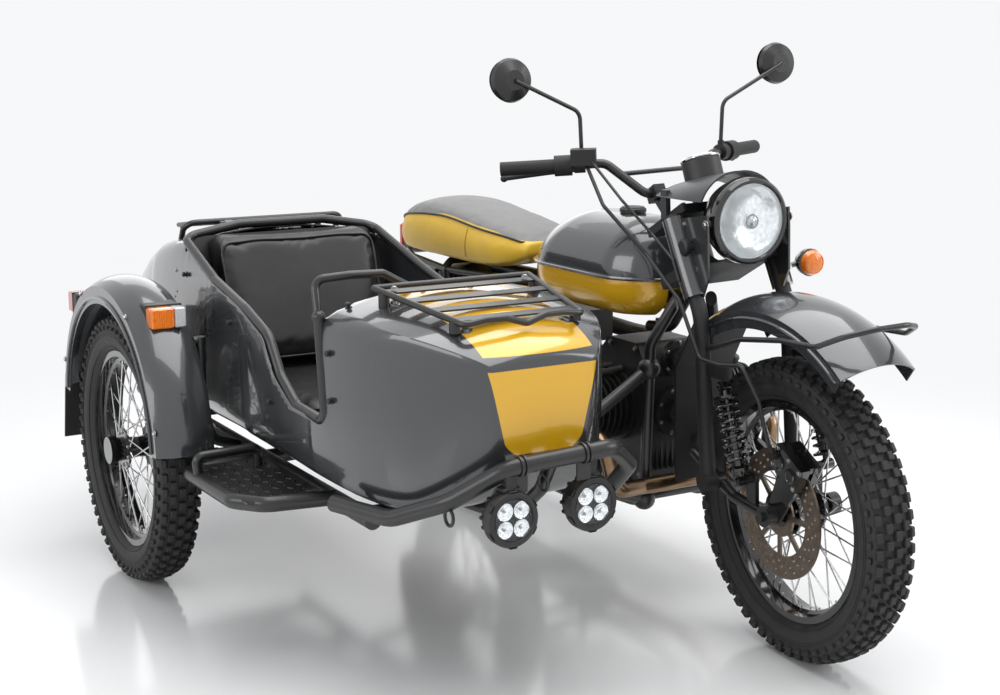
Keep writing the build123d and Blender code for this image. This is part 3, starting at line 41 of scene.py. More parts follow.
# Lengths are in millimetres from the rear axle, the motorcycle's middle plane and the floor.
# place() turns them into the frame's metres.
rearAxleX = -605.0
bikeY = 376.0
tubY = -655.0
steerFoot = Vector((1520.0, 0.0, 0.0))
steerAxis = Vector((-sin(radians(27)), 0, cos(radians(27))))
restSteer = radians(-5.65)
steerTurn = (Matrix.Translation(steerFoot) @ Matrix.Rotation(restSteer, 4, steerAxis)
             @ Matrix.Translation(-steerFoot))
wheelCentres = {"front": (1470, 0, 342.5), "rear": (0, 0, 342.5), "sidecar": (186, -1101, 342.5)}
wheelBodies = {"front": "front_wheel", "rear": "rear_wheel", "sidecar": "sidecar_wheel"}
upright = ((1, 0, 0), (0, 1, 0), (0, 0, 1))
facingAhead = ((0, 0, 1), (0, 1, 0), (1, 0, 0))


def place(point, steered=False):
    p = Vector(point)
    if steered:
        p = steerTurn @ p
    return Vector(((p.x + rearAxleX) / 1000, (p.y + bikeY) / 1000, p.z / 1000))


def unplace(where):
    return Vector((where.x * 1000 - rearAxleX, where.y * 1000 - bikeY, where.z * 1000))


# shader nodes: an input takes a value, or the socket that feeds it
def feed(tree, node, inputs):
    for key, value in inputs.items():
        if isinstance(value, bpy.types.NodeSocket):
            tree.links.new(value, node.inputs[key])
        else:
            node.inputs[key].default_value = value


def newNode(tree, kind, inputs={}, **settings):
    node = tree.nodes.new("ShaderNode" + kind)
    for key, value in settings.items():
        setattr(node, key, value)
    feed(tree, node, inputs)
    return node


def combine(tree, operation, *values):
    return newNode(tree, "Math", dict(enumerate(values)), operation=operation).outputs[0]


def objectPlace(tree):
    return newNode(tree, "TexCoord").outputs["Object"]


def newGroup(name, inputs, outputs):
    group = bpy.data.node_groups.new(name, "ShaderNodeTree")
    for label, kind, value in inputs:
        socket = group.interface.new_socket(name=label, in_out="INPUT", socket_type="NodeSocket" + kind)
        socket.default_value = value
    for label, kind in outputs:
        group.interface.new_socket(name=label, in_out="OUTPUT", socket_type="NodeSocket" + kind)
    return group, group.nodes.new("NodeGroupInput").outputs, group.nodes.new("NodeGroupOutput")


def toneGroup():
    # a base colour with slow cloudy changes towards a second colour
    middleGrey = (0.5, 0.5, 0.5, 1)
    inputs = [("Colour", "Color", middleGrey), ("Second", "Color", middleGrey), ("Scale", "Float", 6.0),
              ("Amount", "Float", 0.2)]
    group, start, end = newGroup("surfaceTone", inputs, [("Colour", "Color"), ("Mask", "Float")])
    cloud = newNode(group, "TexNoise", {"Vector": objectPlace(group), "Scale": start["Scale"], "Detail": 5})
    ramp = newNode(group, "MapRange", {"Value": cloud.outputs["Fac"], "From Min": 0.35, "From Max": 0.7})
    share = combine(group, "MULTIPLY", ramp.outputs["Result"], start["Amount"])
    mix = newNode(group, "Mix", {"Factor": share, "A": start["Colour"], "B": start["Second"]}, data_type="RGBA")
    feed(group, end, {"Colour": mix.outputs["Result"], "Mask": share})
    return group


def grainGroup():
    # a height for a Bump node: a pebbled or orange-peel grain
    group, start, end = newGroup("surfaceGrain", [("Scale", "Float", 300.0), ("Softness", "Float", 0.5)],
                                 [("Height", "Float")])
    spread = {"Vector": objectPlace(group), "Scale": start["Scale"]}
    pebble = newNode(group, "TexVoronoi", spread, feature="SMOOTH_F1")
    dust = newNode(group, "TexNoise", {**spread, "Detail": 4})
    mix = newNode(group, "Mix", {"Factor": start["Softness"], "A": pebble.outputs["Distance"],
                                 "B": dust.outputs["Fac"]})
    feed(group, end, {"Height": mix.outputs["Result"]})
    return group


def radiusGroup():
    # distance from a wheel's axle, in metres
    group, start, end = newGroup("axleRadius", [("Centre", "Vector", (0, 0, 0)), ("Axle", "Vector", (0, 1, 0))],
                                 [("Radius", "Float")])
    offset = newNode(group, "VectorMath", {0: objectPlace(group), 1: start["Centre"]}, operation="SUBTRACT")
    along = newNode(group, "VectorMath", {0: offset.outputs[0], 1: start["Axle"]}, operation="DOT_PRODUCT")
    back = newNode(group, "VectorMath", {0: start["Axle"], "Scale": along.outputs["Value"]}, operation="SCALE")
    flat = newNode(group, "VectorMath", {0: offset.outputs[0], 1: back.outputs[0]}, operation="SUBTRACT")
    size = newNode(group, "VectorMath", {0: flat.outputs[0]}, operation="LENGTH")
    feed(group, end, {"Radius": size.outputs["Value"]})
    return group


surfaceTone = toneGroup()
surfaceGrain = grainGroup()
axleRadius = radiusGroup()


def surface(colour, second, roughness, **rest):
    return dict(colour=colour, second=second, roughness=roughness, **rest)


def evenGrey(low, high, roughness, **rest):
    return surface((low,) * 3, (high,) * 3, roughness, **rest)


# a finish: its colour, a second colour that clouds it, its roughness, and what else it has
paintCoat = dict(coat=1.0, coatRoughness=0.03, scale=3, amount=0.3)
lensCoat = dict(coat=1.0, amount=0.5)
finishes = {
    "greyPaint": surface((0.046, 0.048, 0.052), (0.054, 0.056, 0.061), 0.24, metallic=0.25, **paintCoat),
    "yellowPaint": surface((0.80, 0.44, 0.012), (0.84, 0.48, 0.018), 0.25, metallic=0.1, **paintCoat),
    "greySatin": surface((0.052, 0.054, 0.058), (0.07, 0.072, 0.076), 0.42, metallic=0.3, grain=900,
                         depth=0.05),
    "blackSatin": surface((0.010, 0.010, 0.011), (0.022, 0.022, 0.023), 0.36, grain=700, depth=0.08, coat=0.2),
    "blackMatte": surface((0.010, 0.010, 0.011), (0.018, 0.018, 0.019), 0.62, grain=500, depth=0.1),
    "blackGloss": surface((0.006, 0.006, 0.007), (0.012, 0.012, 0.013), 0.12, coat=0.8, coatRoughness=0.04),
    "blackPlastic": evenGrey(0.012, 0.022, 0.5, grain=500, depth=0.12),
    "gripRubber": evenGrey(0.008, 0.02, 0.62, grain=350, depth=0.2),
    "tyreRubber": surface((0.012, 0.012, 0.012), (0.034, 0.032, 0.030), 0.68, scale=40, amount=0.7, grain=420,
                       depth=0.22),
    "engineBlack": evenGrey(0.010, 0.03, 0.48, grain=330, depth=0.3, scale=30, amount=0.4),
    "chrome": evenGrey(0.62, 0.5, 0.12, metallic=1.0),
    "brightSteel": surface((0.42, 0.41, 0.40), (0.28, 0.27, 0.26), 0.3, metallic=1.0, scale=60, amount=0.5),
    "discSteel": surface((0.20, 0.16, 0.13), (0.32, 0.26, 0.20), 0.34, metallic=1.0, scale=80, amount=0.6),
    "heatSteel": surface((0.33, 0.22, 0.13), (0.16, 0.10, 0.06), 0.28, metallic=1.0, scale=14, amount=0.8),
    "castAlloyDark": surface((0.020, 0.020, 0.021), (0.05, 0.05, 0.05), 0.34, grain=300, depth=0.2, scale=30,
                          amount=0.4, coat=0.3),
    "dialWhite": surface((0.7, 0.7, 0.68), (0.6, 0.6, 0.58), 0.5),
    "vinylBlack": evenGrey(0.012, 0.022, 0.40, grain=620, depth=0.28, scale=30, amount=0.4),
    "vinylYellow": surface((0.86, 0.55, 0.055), (0.78, 0.47, 0.04), 0.40, grain=620, depth=0.22, scale=18,
                           amount=0.5),
    "vinylSeam": surface((0.36, 0.19, 0.015), (0.28, 0.14, 0.01), 0.5),
    "vinylGrey": surface((0.20, 0.198, 0.196), (0.16, 0.158, 0.156), 0.55, grain=620, depth=0.3, scale=30,
                         amount=0.5),
    "amberLens": surface((0.75, 0.17, 0.004), (0.9, 0.27, 0.01), 0.12, scale=80, **lensCoat),
    "redLens": surface((0.50, 0.012, 0.008), (0.35, 0.006, 0.004), 0.12, scale=80, **lensCoat),
    "clearLens": surface((0.62, 0.63, 0.64), (0.45, 0.46, 0.47), 0.1, scale=120, **lensCoat),
    "flapRubber": evenGrey(0.010, 0.02, 0.6, grain=300, depth=0.2),
    "mirrorFace": evenGrey(0.8, 0.7, 0.03, metallic=1.0),
}
materials = {}


def newMaterial(name):
    material = bpy.data.materials.new(name)
    material.use_nodes = True
    materials[name] = material
    return material, material.node_tree, material.node_tree.nodes["Principled BSDF"]


def toneNode(tree, look):
    return newNode(tree, "Group", {"Colour": (*look["colour"], 1), "Second": (*look["second"], 1),
                                   "Scale": look.get("scale", 12), "Amount": look.get("amount", 0.5)},
                   node_tree=surfaceTone)


def addGrain(tree, shader, look):
    grain = newNode(tree, "Group", {"Scale": look["grain"]}, node_tree=surfaceGrain)
    bump = newNode(tree, "Bump", {"Height": grain.outputs["Height"], "Strength": look["depth"],
                                  "Distance": 0.001})
    feed(tree, shader, {"Normal": bump.outputs["Normal"]})


def finish(name):
    if name in materials:
        return materials[name]
    look = finishes[name]
    material, tree, shader = newMaterial(name)
    tone = toneNode(tree, look)
    rough = newNode(tree, "MapRange", {"Value": tone.outputs["Mask"], "To Min": look["roughness"] * 0.88,
                                       "To Max": look["roughness"] * 1.2})
    feed(tree, shader, {"Base Color": tone.outputs["Colour"], "Roughness": rough.outputs["Result"],
                        "Metallic": look.get("metallic", 0.0), "Coat Weight": look.get("coat", 0.0),
                        "Coat Roughness": look.get("coatRoughness", 0.1)})
    if "grain" in look:
        addGrain(tree, shader, look)
    return material


# masks from the place on the object, in the frame's metres
def greater(tree, value, limit, soft=0.0006):
    return newNode(tree, "MapRange", {"Value": value, "From Min": limit - soft,
                                      "From Max": limit + soft}).outputs["Result"]


def objectAxes(tree):
    axes = newNode(tree, "SeparateXYZ", {0: objectPlace(tree)})
    return axes.outputs["X"], axes.outputs["Y"], axes.outputs["Z"]


def twoTone(name, first, second, maskMaker, coatRoughness=0.04, grained=False):
    # one paint where the mask is 0 and another where it is 1
    material, tree, shader = newMaterial(name)
    a, b = finishes[first], finishes[second]
    mask = maskMaker(tree)
    colour = newNode(tree, "Mix", {"Factor": mask, "A": toneNode(tree, a).outputs["Colour"],
                                   "B": toneNode(tree, b).outputs["Colour"]}, data_type="RGBA")
    feed(tree, shader, {"Base Color": colour.outputs["Result"], "Coat Roughness": coatRoughness})
    for socket, key, default in (("Roughness", "roughness", 0.4), ("Metallic", "metallic", 0.0),
                                 ("Coat Weight", "coat", 0.0)):
        blend = newNode(tree, "MapRange", {"Value": mask, "To Min": a.get(key, default),
                                           "To Max": b.get(key, default)})
        feed(tree, shader, {socket: blend.outputs["Result"]})
    if grained:
        addGrain(tree, shader, a)
    return material


def dress(obj, material):
    obj.data.materials.clear()
    obj.data.materials.append(material)


# meshes are (verts, faces); a store gathers many of them into one
def newMesh(name, verts, faces):
    mesh = bpy.data.meshes.new(name)
    mesh.from_pydata(verts, [], faces)
    return mesh


def newObject(name, data):
    obj = bpy.data.objects.new(name, data)
    bpy.context.scene.collection.objects.link(obj)
    return obj


def addPiece(mesh, material, body):
    obj = newObject(mesh.name, mesh)
    mesh.materials.append(finish(material))
    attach(obj, body)
    return obj


def shadeSmooth(mesh):
    for polygon in mesh.polygons:
        polygon.use_smooth = True


def addMesh(name, store, material, body, sharp=0.6):
    steered = body in ("steering", "front_wheel")
    mesh = newMesh(name, [place(v, steered) for v in store[0]], store[1])
    bm = bmesh.new()
    bm.from_mesh(mesh)
    bmesh.ops.recalc_face_normals(bm, faces=bm.faces)
    bm.to_mesh(mesh)
    bm.free()
    shadeSmooth(mesh)
    mesh.set_sharp_from_angle(angle=sharp)
    return addPiece(mesh, material, body)


def gather():
    return [], []


def put(store, mesh, origin=(0, 0, 0), axes=upright):
    # adds a mesh at the origin given, with its own axes laid along these
    o, ax, ay, az = Vector(origin), *(Vector(axis) for axis in axes)
    base = len(store[0])
    store[0].extend([o + ax * v[0] + ay * v[1] + az * v[2] for v in mesh[0]])
    store[1].extend([tuple(base + i for i in face) for face in mesh[1]])


def putFacing(store, mesh, origin, direction):
    put(store, mesh, origin, basis(direction))


def basis(direction):
    # three axes at right angles, the last of them along the direction
    z = Vector(direction).normalized()
    h = Vector((1, 0, 0) if abs(z.z) > 0.95 else (0, 0, 1))
    x = h.cross(z).normalized()
    y = z.cross(x)
    return x, y, z


def around(radius, angle):
    return radius * cos(angle), radius * sin(angle)


def ringAngles(count, shift=0.0):
    return [2 * pi * (k + shift) / count for k in range(count)]


def hoop(centre, radius, count, across=(1, 0, 0), up=(0, 0, 1)):
    # a closed ring of points
    return [Vector(centre) + Vector(across) * (radius * cos(a)) + Vector(up) * (radius * sin(a))
            for a in ringAngles(count) + [2 * pi]]


def spun(profile, count=24):
    # profile: (radius, height) from one end to the other, closed at the axis where radius is 0
    verts, faces, rings = [], [], []
    for radius, height in profile:
        if radius < 1e-6:
            rings.append([len(verts)] * count)
            verts.append((0, 0, height))
        else:
            rings.append(list(range(len(verts), len(verts) + count)))
            verts += [(*around(radius, a), height) for a in ringAngles(count)]
    for low, high in zip(rings, rings[1:]):
        for k in range(count):
            m = (k + 1) % count
            if low[0] == low[1]:
                if high[0] != high[1]:
                    faces.append((low[0], high[m], high[k]))
            elif high[0] == high[1]:
                faces.append((low[k], low[m], high[0]))
            else:
                faces.append((low[k], low[m], high[m], high[k]))
    return verts, faces


def sweptTube(path, radius, count=10, capped=True):
    verts, faces = [], []
    path = [Vector(p) for p in path]
    x, _, _ = basis(path[1] - path[0])
    for k, p in enumerate(path):
        z = (path[min(k + 1, len(path) - 1)] - path[max(k - 1, 0)]).normalized()
        x = (x - z * x.dot(z)).normalized()
        y = z.cross(x)
        for a in ringAngles(count):
            verts.append(p + x * (radius * cos(a)) + y * (radius * sin(a)))
    for k in range(len(path) - 1):
        for m in range(count):
            n = (m + 1) % count
            faces.append((k * count + m, k * count + n, (k + 1) * count + n, (k + 1) * count + m))
    if capped:
        faces.append(tuple(reversed(range(count))))
        faces.append(tuple(range((len(path) - 1) * count, len(path) * count)))
    return verts, faces


def blockMesh(size, bevel=0.0, taper=1.0):
    # a box with cut corners; taper narrows its top
    lx, ly, lz = (s / 2 for s in size)
    verts, faces, rings = [], [], []
    c = max(bevel * 0.9, 0.01)
    for z, inset, scale in ((-lz, bevel, 1), (-lz + bevel, 0, 1), (lz - bevel, 0, taper), (lz, bevel, taper)):
        w, d = lx * scale - inset, ly * scale - inset
        ring = [(w, -d + c), (w, d - c), (w - c, d), (-w + c, d), (-w, d - c), (-w, -d + c), (-w + c, -d),
                (w - c, -d)]
        rings.append(list(range(len(verts), len(verts) + 8)))
        verts += [(x, y, z) for x, y in ring]
    for low, high in zip(rings, rings[1:]):
        for k in range(8):
            m = (k + 1) % 8
            faces.append((low[k], low[m], high[m], high[k]))
    faces.append(tuple(reversed(rings[0])))
    faces.append(tuple(rings[-1]))
    return verts, faces


def boltMesh(size, height):
    # a washer, a flange and a six-sided head with a domed top
    store = gather()
    put(store, spun([(0, 0), (size * 1.35, 0), (size * 1.35, 1.2), (size * 1.05, 1.6)], 18))
    put(store, spun([(size * 0.92, 1.0), (size * 0.92, height - 1), (size * 0.7, height), (0, height)], 6))
    return store


# the carcass's side is rows of (radius, distance from the middle); a row of blocks is its distance from the
# middle, its shift along the tread in blocks, its width, its length and its lean
tyreLook = {"radius": 342.5, "blockHeight": 9.5, "shoulderHeight": 6.5, "shoulder": 45, "shoulderRadius": 309.0,
            "blocks": 58, "segments": 116, "crownHalf": 46.0, "crownDrop": 13.5,
            "side": [(250.6, -31), (253.5, -34.5), (260, -43), (270, -49), (282, -51), (296, -51.0),
                     (308, -49.5), (316, -47)],
            "beads": [(262, 45.6), (290, 51.6), (296, 51.6)],
            "rows": [(0.0, 0.0, 17, 22, 0.0), (20.5, 0.5, 15, 21, 0.12), (-20.5, 0.5, 15, 21, -0.12),
                     (38.5, 0.0, 15, 23, 0.42), (-38.5, 0.0, 15, 23, -0.42), (49.5, 0.5, 10, 16, 1.02),
                     (-49.5, 0.5, 10, 16, -1.02)]}


def tyreSurface(y):
    # the carcass radius at y, under the blocks
    tread = tyreLook["radius"] - tyreLook["blockHeight"]
    return tread - (abs(y) / tyreLook["crownHalf"]) ** 2.6 * tyreLook["crownDrop"]


def makeTyre(which):
    look = tyreLook
    centre = Vector(wheelCentres[which])
    store = gather()
    profile = list(look["side"])
    profile += [(tyreSurface(y), y) for y in range(-44, 45, 11)]
    profile += [(r, -y) for r, y in reversed(look["side"])]
    verts, faces = [], []
    for a in ringAngles(look["segments"]):
        verts += [(r * cos(a), y, r * sin(a)) for r, y in profile]
    n = len(profile)
    for k in range(look["segments"]):
        m = (k + 1) % look["segments"]
        for j in range(n - 1):
            faces.append((k * n + j, k * n + j + 1, m * n + j + 1, m * n + j))
        faces.append((k * n + n - 1, k * n, m * n, m * n + n - 1))
    put(store, (verts, faces), centre)
    for r, y in look["beads"]:
        for s in (-1, 1):
            put(store, sweptTube(hoop(centre + Vector((0, s * y, 0)), r, 90), 0.9, 6, False))
    for y, shift, across, along, lean in look["rows"]:
        onTread = abs(y) < look["shoulder"]
        depth = look["blockHeight"] if onTread else look["shoulderHeight"]
        base = tyreSurface(y) if onTread else look["shoulderRadius"]
        block = blockMesh((across, along * (1 if onTread else 0.9), depth + 3), 1.3, 0.9)
        for a in ringAngles(look["blocks"], shift):
            radial = Vector((cos(a), 0, sin(a)))
            forward = Vector((-sin(a), 0, cos(a)))
            up = (radial * cos(lean) + Vector((0, 1, 0)) * sin(lean)).normalized()
            origin = centre + radial * (base - 1.5 * cos(lean)) + Vector((0, y, 0)) + up * (depth / 2)
            put(store, block, origin, (forward.cross(up), forward, up))
    obj = addMesh(which + "TyreTread", store, "tyreRubber", wheelBodies[which], sharp=0.5)
    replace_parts(obj, which + "_tyre")


for which in wheelCentres:
    makeTyre(which)
print("tyres made")


def wheelFinish(which):
    # black rims and hubs with bright spokes between them
    rimRadius, hubRadius = 0.2232, 0.0525
    centre = place(wheelCentres[which], which == "front")
    axle = Vector((0, 1, 0))
    if which == "front":
        axle = steerTurn.to_3x3() @ axle

    def mask(tree):
        reach = newNode(tree, "Group", {"Centre": centre, "Axle": axle}, node_tree=axleRadius)
        radius = reach.outputs["Radius"]
        return combine(tree, "SUBTRACT", greater(tree, radius, hubRadius), greater(tree, radius, rimRadius))
    return twoTone("wheel" + which.capitalize(), "blackGloss", "chrome", mask)


for which in wheelCentres:
    dress(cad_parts[which + "_wheel"], wheelFinish(which))

plain = {
    "greyPaint": ["fork_covers", "tank_top", "trunk_lid"],
    "yellowPaint": ["tank_base"],
    "greySatin": ["nacelle"],
    "blackMatte": ["fork"],
    "blackGloss": ["front_caliper", "headlight_shell"],
    "blackSatin": ["fork_shocks", "front_link", "handlebar", "mirrors", "mudguard_rail", "rear_mudguard",
                   "frame", "swingarm", "rear_shocks", "foot_pegs", "side_boxes", "coaming", "trunk_rack",
                   "nose_rack", "sidecar_frame", "sidecar_swingarm", "step", "bumper", "driving_lamps"],
    "blackPlastic": ["gauge", "control_lines", "fuel_cap", "intakes", "tail_lamp"],
    "gripRubber": ["controls"],
    "engineBlack": ["engine", "cylinders"],
    "discSteel": ["front_disc"],
    "amberLens": ["front_indicator", "sidecar_lamps"],
    "clearLens": ["headlight_lens"],
    "vinylYellow": ["seat"],
    "vinylBlack": ["sidecar_cushion", "sidecar_backrest"],
}
for name, nodes in plain.items():
    for node in nodes:
        dress(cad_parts[node], finish(name))


def applyModifiers(obj):
    bpy.context.view_layer.update()
    graph = bpy.context.evaluated_depsgraph_get()
    mesh = bpy.data.meshes.new_from_object(obj.evaluated_get(graph))
    obj.modifiers.clear()
    old = obj.data
    obj.data = mesh
    bpy.data.meshes.remove(old)


# the sidecar's body is a rounded skin laid over the solid, with its openings; a row is the section's place and
# its half widths at the floor, the waist and the top, then its heights from the floor up to the crown
tubRows = [(-600, 120, 172, 150, 480, 530, 598, 616), (-440, 170, 236, 205, 440, 490, 700, 736),
           (-120, 225, 275, 262, 408, 458, 812, 852), (105, 232, 286, 275, 405, 455, 842, 876),
           (1000, 238, 302, 300, 405, 455, 792, 838), (1270, 190, 232, 232, 408, 455, 784, 816),
           (1425, 86, 118, 138, 520, 560, 748, 766)]
lidPlan = {"front": 25.0, "rear": -435.0, "frontHalf": 250.0, "rearHalf": 187.0}
outerRim = [(1004, 790), (1034, 566), (870, 570), (778, 618), (708, 700), (560, 742), (350, 782), (105, 846)]
innerRim = [(985, 786), (800, 744), (500, 742), (350, 782), (105, 846)]


def tubSize(x):
    # the body's section at x, along a smooth run through the rows
    for k, (a, b) in enumerate(zip(tubRows, tubRows[1:])):
        if x <= b[0] or b is tubRows[-1]:
            before = tubRows[k - 1] if k else tuple(2 * p - q for p, q in zip(a, b))
            after = tubRows[k + 2] if k + 2 < len(tubRows) else tuple(2 * q - p for p, q in zip(a, b))
            h = b[0] - a[0]
            t = (x - a[0]) / h
            out = [x]
            for i in range(1, 8):
                slopeA = (b[i] - before[i]) / (b[0] - before[0]) * h
                slopeB = (after[i] - a[i]) / (after[0] - a[0]) * h
                out.append((2 * t ** 3 - 3 * t * t + 1) * a[i] + (t ** 3 - 2 * t * t + t) * slopeA
                           + (3 * t * t - 2 * t ** 3) * b[i] + (t ** 3 - t * t) * slopeB)
            return out


def threePoint(a, m, b, count):
    # points along the arc from a through m to b
    ax, ay, bx, by, cx, cy = *a, *m, *b
    d = 2 * (ax * (by - cy) + bx * (cy - ay) + cx * (ay - by))
    aa, bb, cc = ax * ax + ay * ay, bx * bx + by * by, cx * cx + cy * cy
    ux = (aa * (by - cy) + bb * (cy - ay) + cc * (ay - by)) / d
    uy = (aa * (cx - bx) + bb * (ax - cx) + cc * (bx - ax)) / d
    r = hypot(ax - ux, ay - uy)
    start, middle, end = (atan2(q - uy, p - ux) for p, q in (a, m, b))
    sweep = (end - start) % (2 * pi)
    if (middle - start) % (2 * pi) > sweep:
        sweep -= 2 * pi
    angles = [start + sweep * k / count for k in range(count + 1)]
    return [(ux + r * cos(angle), uy + r * sin(angle)) for angle in angles]


def lidHalf(x):
    share = min(max((x - lidPlan["rear"]) / (lidPlan["front"] - lidPlan["rear"]), 0), 1)
    return lidPlan["rearHalf"] + (lidPlan["frontHalf"] - lidPlan["rearHalf"]) * share


def halfSection(x):
    # (half width, height) from the crown down to the floor's middle
    _, f, w, t, zf, low, zs, zc = tubSize(x)
    heights = [(p, q) for p, q in threePoint((-t, zs), (0, zc), (t, zs), 80) if p >= 0]
    edge = min(lidHalf(x), t - 4)
    top = []
    for y in [edge * k / 8 for k in range(9)] + [edge + (t - edge) * k / 4 for k in range(1, 5)]:
        for (p, q), (p2, q2) in zip(heights, heights[1:]):
            if y <= p2 + 1e-6:
                top.append((y, q + (q2 - q) * (y - p) / (p2 - p)))
                break
        else:
            top.append(heights[-1])
    side = threePoint((t, zs), ((w + t) / 2 + 8, (low + zs) / 2), (w, low), 36)
    turn = threePoint((w, low), (f + (w - f) * 0.72, zf + (low - zf) * 0.3), (f, zf), 8)
    floor = [(f * (1 - k / 5), zf) for k in range(1, 6)]
    return top + side[1:] + turn[1:] + floor


def filletLine(points, radii, count=8):
    out = [Vector(points[0])]
    for k in range(1, len(points) - 1):
        p, corner, n = (Vector(points[k + m]) for m in (-1, 0, 1))
        u, v = (p - corner).normalized(), (n - corner).normalized()
        cut = min(radii[k - 1] / tan(acos(max(-1, min(1, u.dot(v)))) / 2), (p - corner).length * 0.48,
                  (n - corner).length * 0.48)
        for m in range(count + 1):
            s = m / count
            out.append((corner + u * cut) * (1 - s) ** 2 + corner * 2 * s * (1 - s)
                       + (corner + v * cut) * s * s)
    out.append(Vector(points[-1]))
    return out


def insidePolygon(x, z, polygon):
    inside = False
    for a, b in zip(polygon, polygon[1:] + polygon[:1]):
        if (a[1] > z) != (b[1] > z) and x < (b[0] - a[0]) * (z - a[1]) / (b[1] - a[1]) + a[0]:
            inside = not inside
    return inside


def nearestOnLine(x, z, line):
    # (distance, place) of the nearest point of a line of (x, z) corners
    best = None
    for a, b in zip(line, line[1:]):
        dx, dz = b[0] - a[0], b[1] - a[1]
        t = min(max(((x - a[0]) * dx + (z - a[1]) * dz) / (dx * dx + dz * dz + 1e-9), 0), 1)
        q = (a[0] + dx * t, a[1] + dz * t)
        gap = hypot(x - q[0], z - q[1])
        if best is None or gap < best[0]:
            best = (gap, q)
    return best


# where the skin's ends begin to round in, how long and how deep that rounding is, how its creases soften, and
# how low and how far its openings and their rim reach; reach and wall are in metres
skinPlan = {"tail": -580, "tailLength": 20, "tailDraw": 0.06, "nose": 1372, "noseLength": 53, "noseDraw": 0.17,
            "reach": 0.016, "wall": 0.004, "crownPoints": 9, "crossRounds": 14, "lengthRounds": 10,
            "softFrom": 1150, "softTo": 1400, "cockpitLow": 560, "lidLow": 600, "openingTop": 1000,
            "rimFrom": 100, "rimTo": 1060, "rimLow": 540, "rimReach": 16}


def skinStations():
    stations = [-600 + 15 * k for k in range(11)] + [-435 + 20 * k for k in range(1, 23)]
    stations += [25 + 80 * k / 5 for k in range(6)]
    stations += [105 + 9 * k for k in range(1, 106)] + [1050 + 12.5 * k for k in range(1, 31)]
    stations = sorted(set([-435.0] + [float(x) for x in stations if x <= 1425]))
    tail, nose, length = skinPlan["tail"], skinPlan["nose"], skinPlan["noseLength"]
    return ([-597.0, -588.0] + [x for x in stations if tail < x < nose]
            + [nose + length * sin(radians(10 * k)) for k in range(10)])


def skinRing(x):
    # the section at x as a closed ring; towards both ends it shrinks about its middle
    pull = 1.0
    for past, length, draw in ((x - skinPlan["nose"], skinPlan["noseLength"], skinPlan["noseDraw"]),
                               (skinPlan["tail"] - x, skinPlan["tailLength"], skinPlan["tailDraw"])):
        if past > 0:
            s = past / length
            pull = 1 - draw * (1 - sqrt(max(0, 1 - s * s)))
    _, _, _, _, zf, _, zs, _ = tubSize(x)
    middle = (zf + zs) / 2
    ring = [(y * pull, middle + (z - middle) * pull) for y, z in halfSection(x)]
    ring += [(-y, z) for y, z in reversed(ring[1:-1])]
    return [Vector((x, tubY + y, z)) for y, z in ring]


def ontoSolid(p):
    # the point moved sideways and up onto the solid body or lid, where one is near
    at = place(p)
    for node in ("sidecar_body", "trunk_lid"):
        ok, where, normal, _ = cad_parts[node].closest_point_on_mesh(at)
        faces = normal.dot(Vector((0, p.y - tubY, (p.z - 640) * 1.2))) > 0
        if ok and (where - at).length < skinPlan["reach"] and faces:
            return Vector((p.x, where.y * 1000 - bikeY, where.z * 1000))
    return p


def bodySkin():
    plan = skinPlan
    rings = [skinRing(x) for x in skinStations()]
    n = len(rings[0])
    for ring in rings[1:-10]:
        ring[:] = [ontoSolid(p) for p in ring]
    for _ in range(plan["crossRounds"]):
        for ring in rings:
            old = [p.copy() for p in ring]
            for k in range(n):
                if min(k, n - k) > plan["crownPoints"]:
                    ring[k] = old[k] * 0.5 + (old[k - 1] + old[(k + 1) % n]) * 0.25
    for _ in range(plan["lengthRounds"]):
        old = [[p.copy() for p in ring] for ring in rings]
        for j in range(1, len(rings) - 1):
            if plan["softFrom"] < rings[j][0].x < plan["softTo"]:
                for k in range(n):
                    rings[j][k] = old[j][k] * 0.5 + (old[j - 1][k] + old[j + 1][k]) * 0.25
    outer, inner = ([tuple(p) for p in filletLine(rim, radii)]
                    + [(rim[-1][0], plan["openingTop"]), (rim[0][0], plan["openingTop"])]
                    for rim, radii in ((outerRim, [60, 60, 60, 80, 90, 40]), (innerRim, [60, 90, 90])))
    verts = [p for ring in rings for p in ring]
    faces = []
    for j in range(len(rings) - 1):
        for k in range(n):
            face = (j * n + k, j * n + (k + 1) % n, (j + 1) * n + (k + 1) % n, (j + 1) * n + k)
            centre = sum((verts[i] for i in face), Vector()) / 4
            across = centre.y - tubY
            inCockpit = insidePolygon(centre.x, centre.z, outer if across < 0 else inner)
            overLid = lidPlan["rear"] < centre.x < lidPlan["front"] and abs(across) < lidHalf(centre.x)
            if not (inCockpit and centre.z > plan["cockpitLow"] or overLid and centre.z > plan["lidLow"]):
                faces.append(face)
    uses = {}
    for face in faces:
        for pair in zip(face, face[1:] + face[:1]):
            edge = tuple(sorted(pair))
            uses[edge] = uses.get(edge, 0) + 1
    for i in {i for edge, count in uses.items() if count == 1 for i in edge}:      # the open rim's own line
        p = verts[i]
        if plan["rimFrom"] < p.x < plan["rimTo"] and p.z > plan["rimLow"]:
            gap, (x, z) = nearestOnLine(p.x, p.z, (outer if p.y < tubY else inner)[:-2])
            if gap < plan["rimReach"]:
                verts[i] = Vector((x, p.y, z))
    faces.append(tuple(range(n)))
    faces.append(tuple(reversed(range((len(rings) - 1) * n, len(rings) * n))))
    return verts, faces


bodyObject = addMesh("sidecarSkin", bodySkin(), "greyPaint", "chassis", sharp=0.9)
shell = bodyObject.modifiers.new("wall", "SOLIDIFY")
shell.thickness = skinPlan["wall"]
shell.offset = -1
applyModifiers(bodyObject)
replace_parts(bodyObject, "sidecar_body")


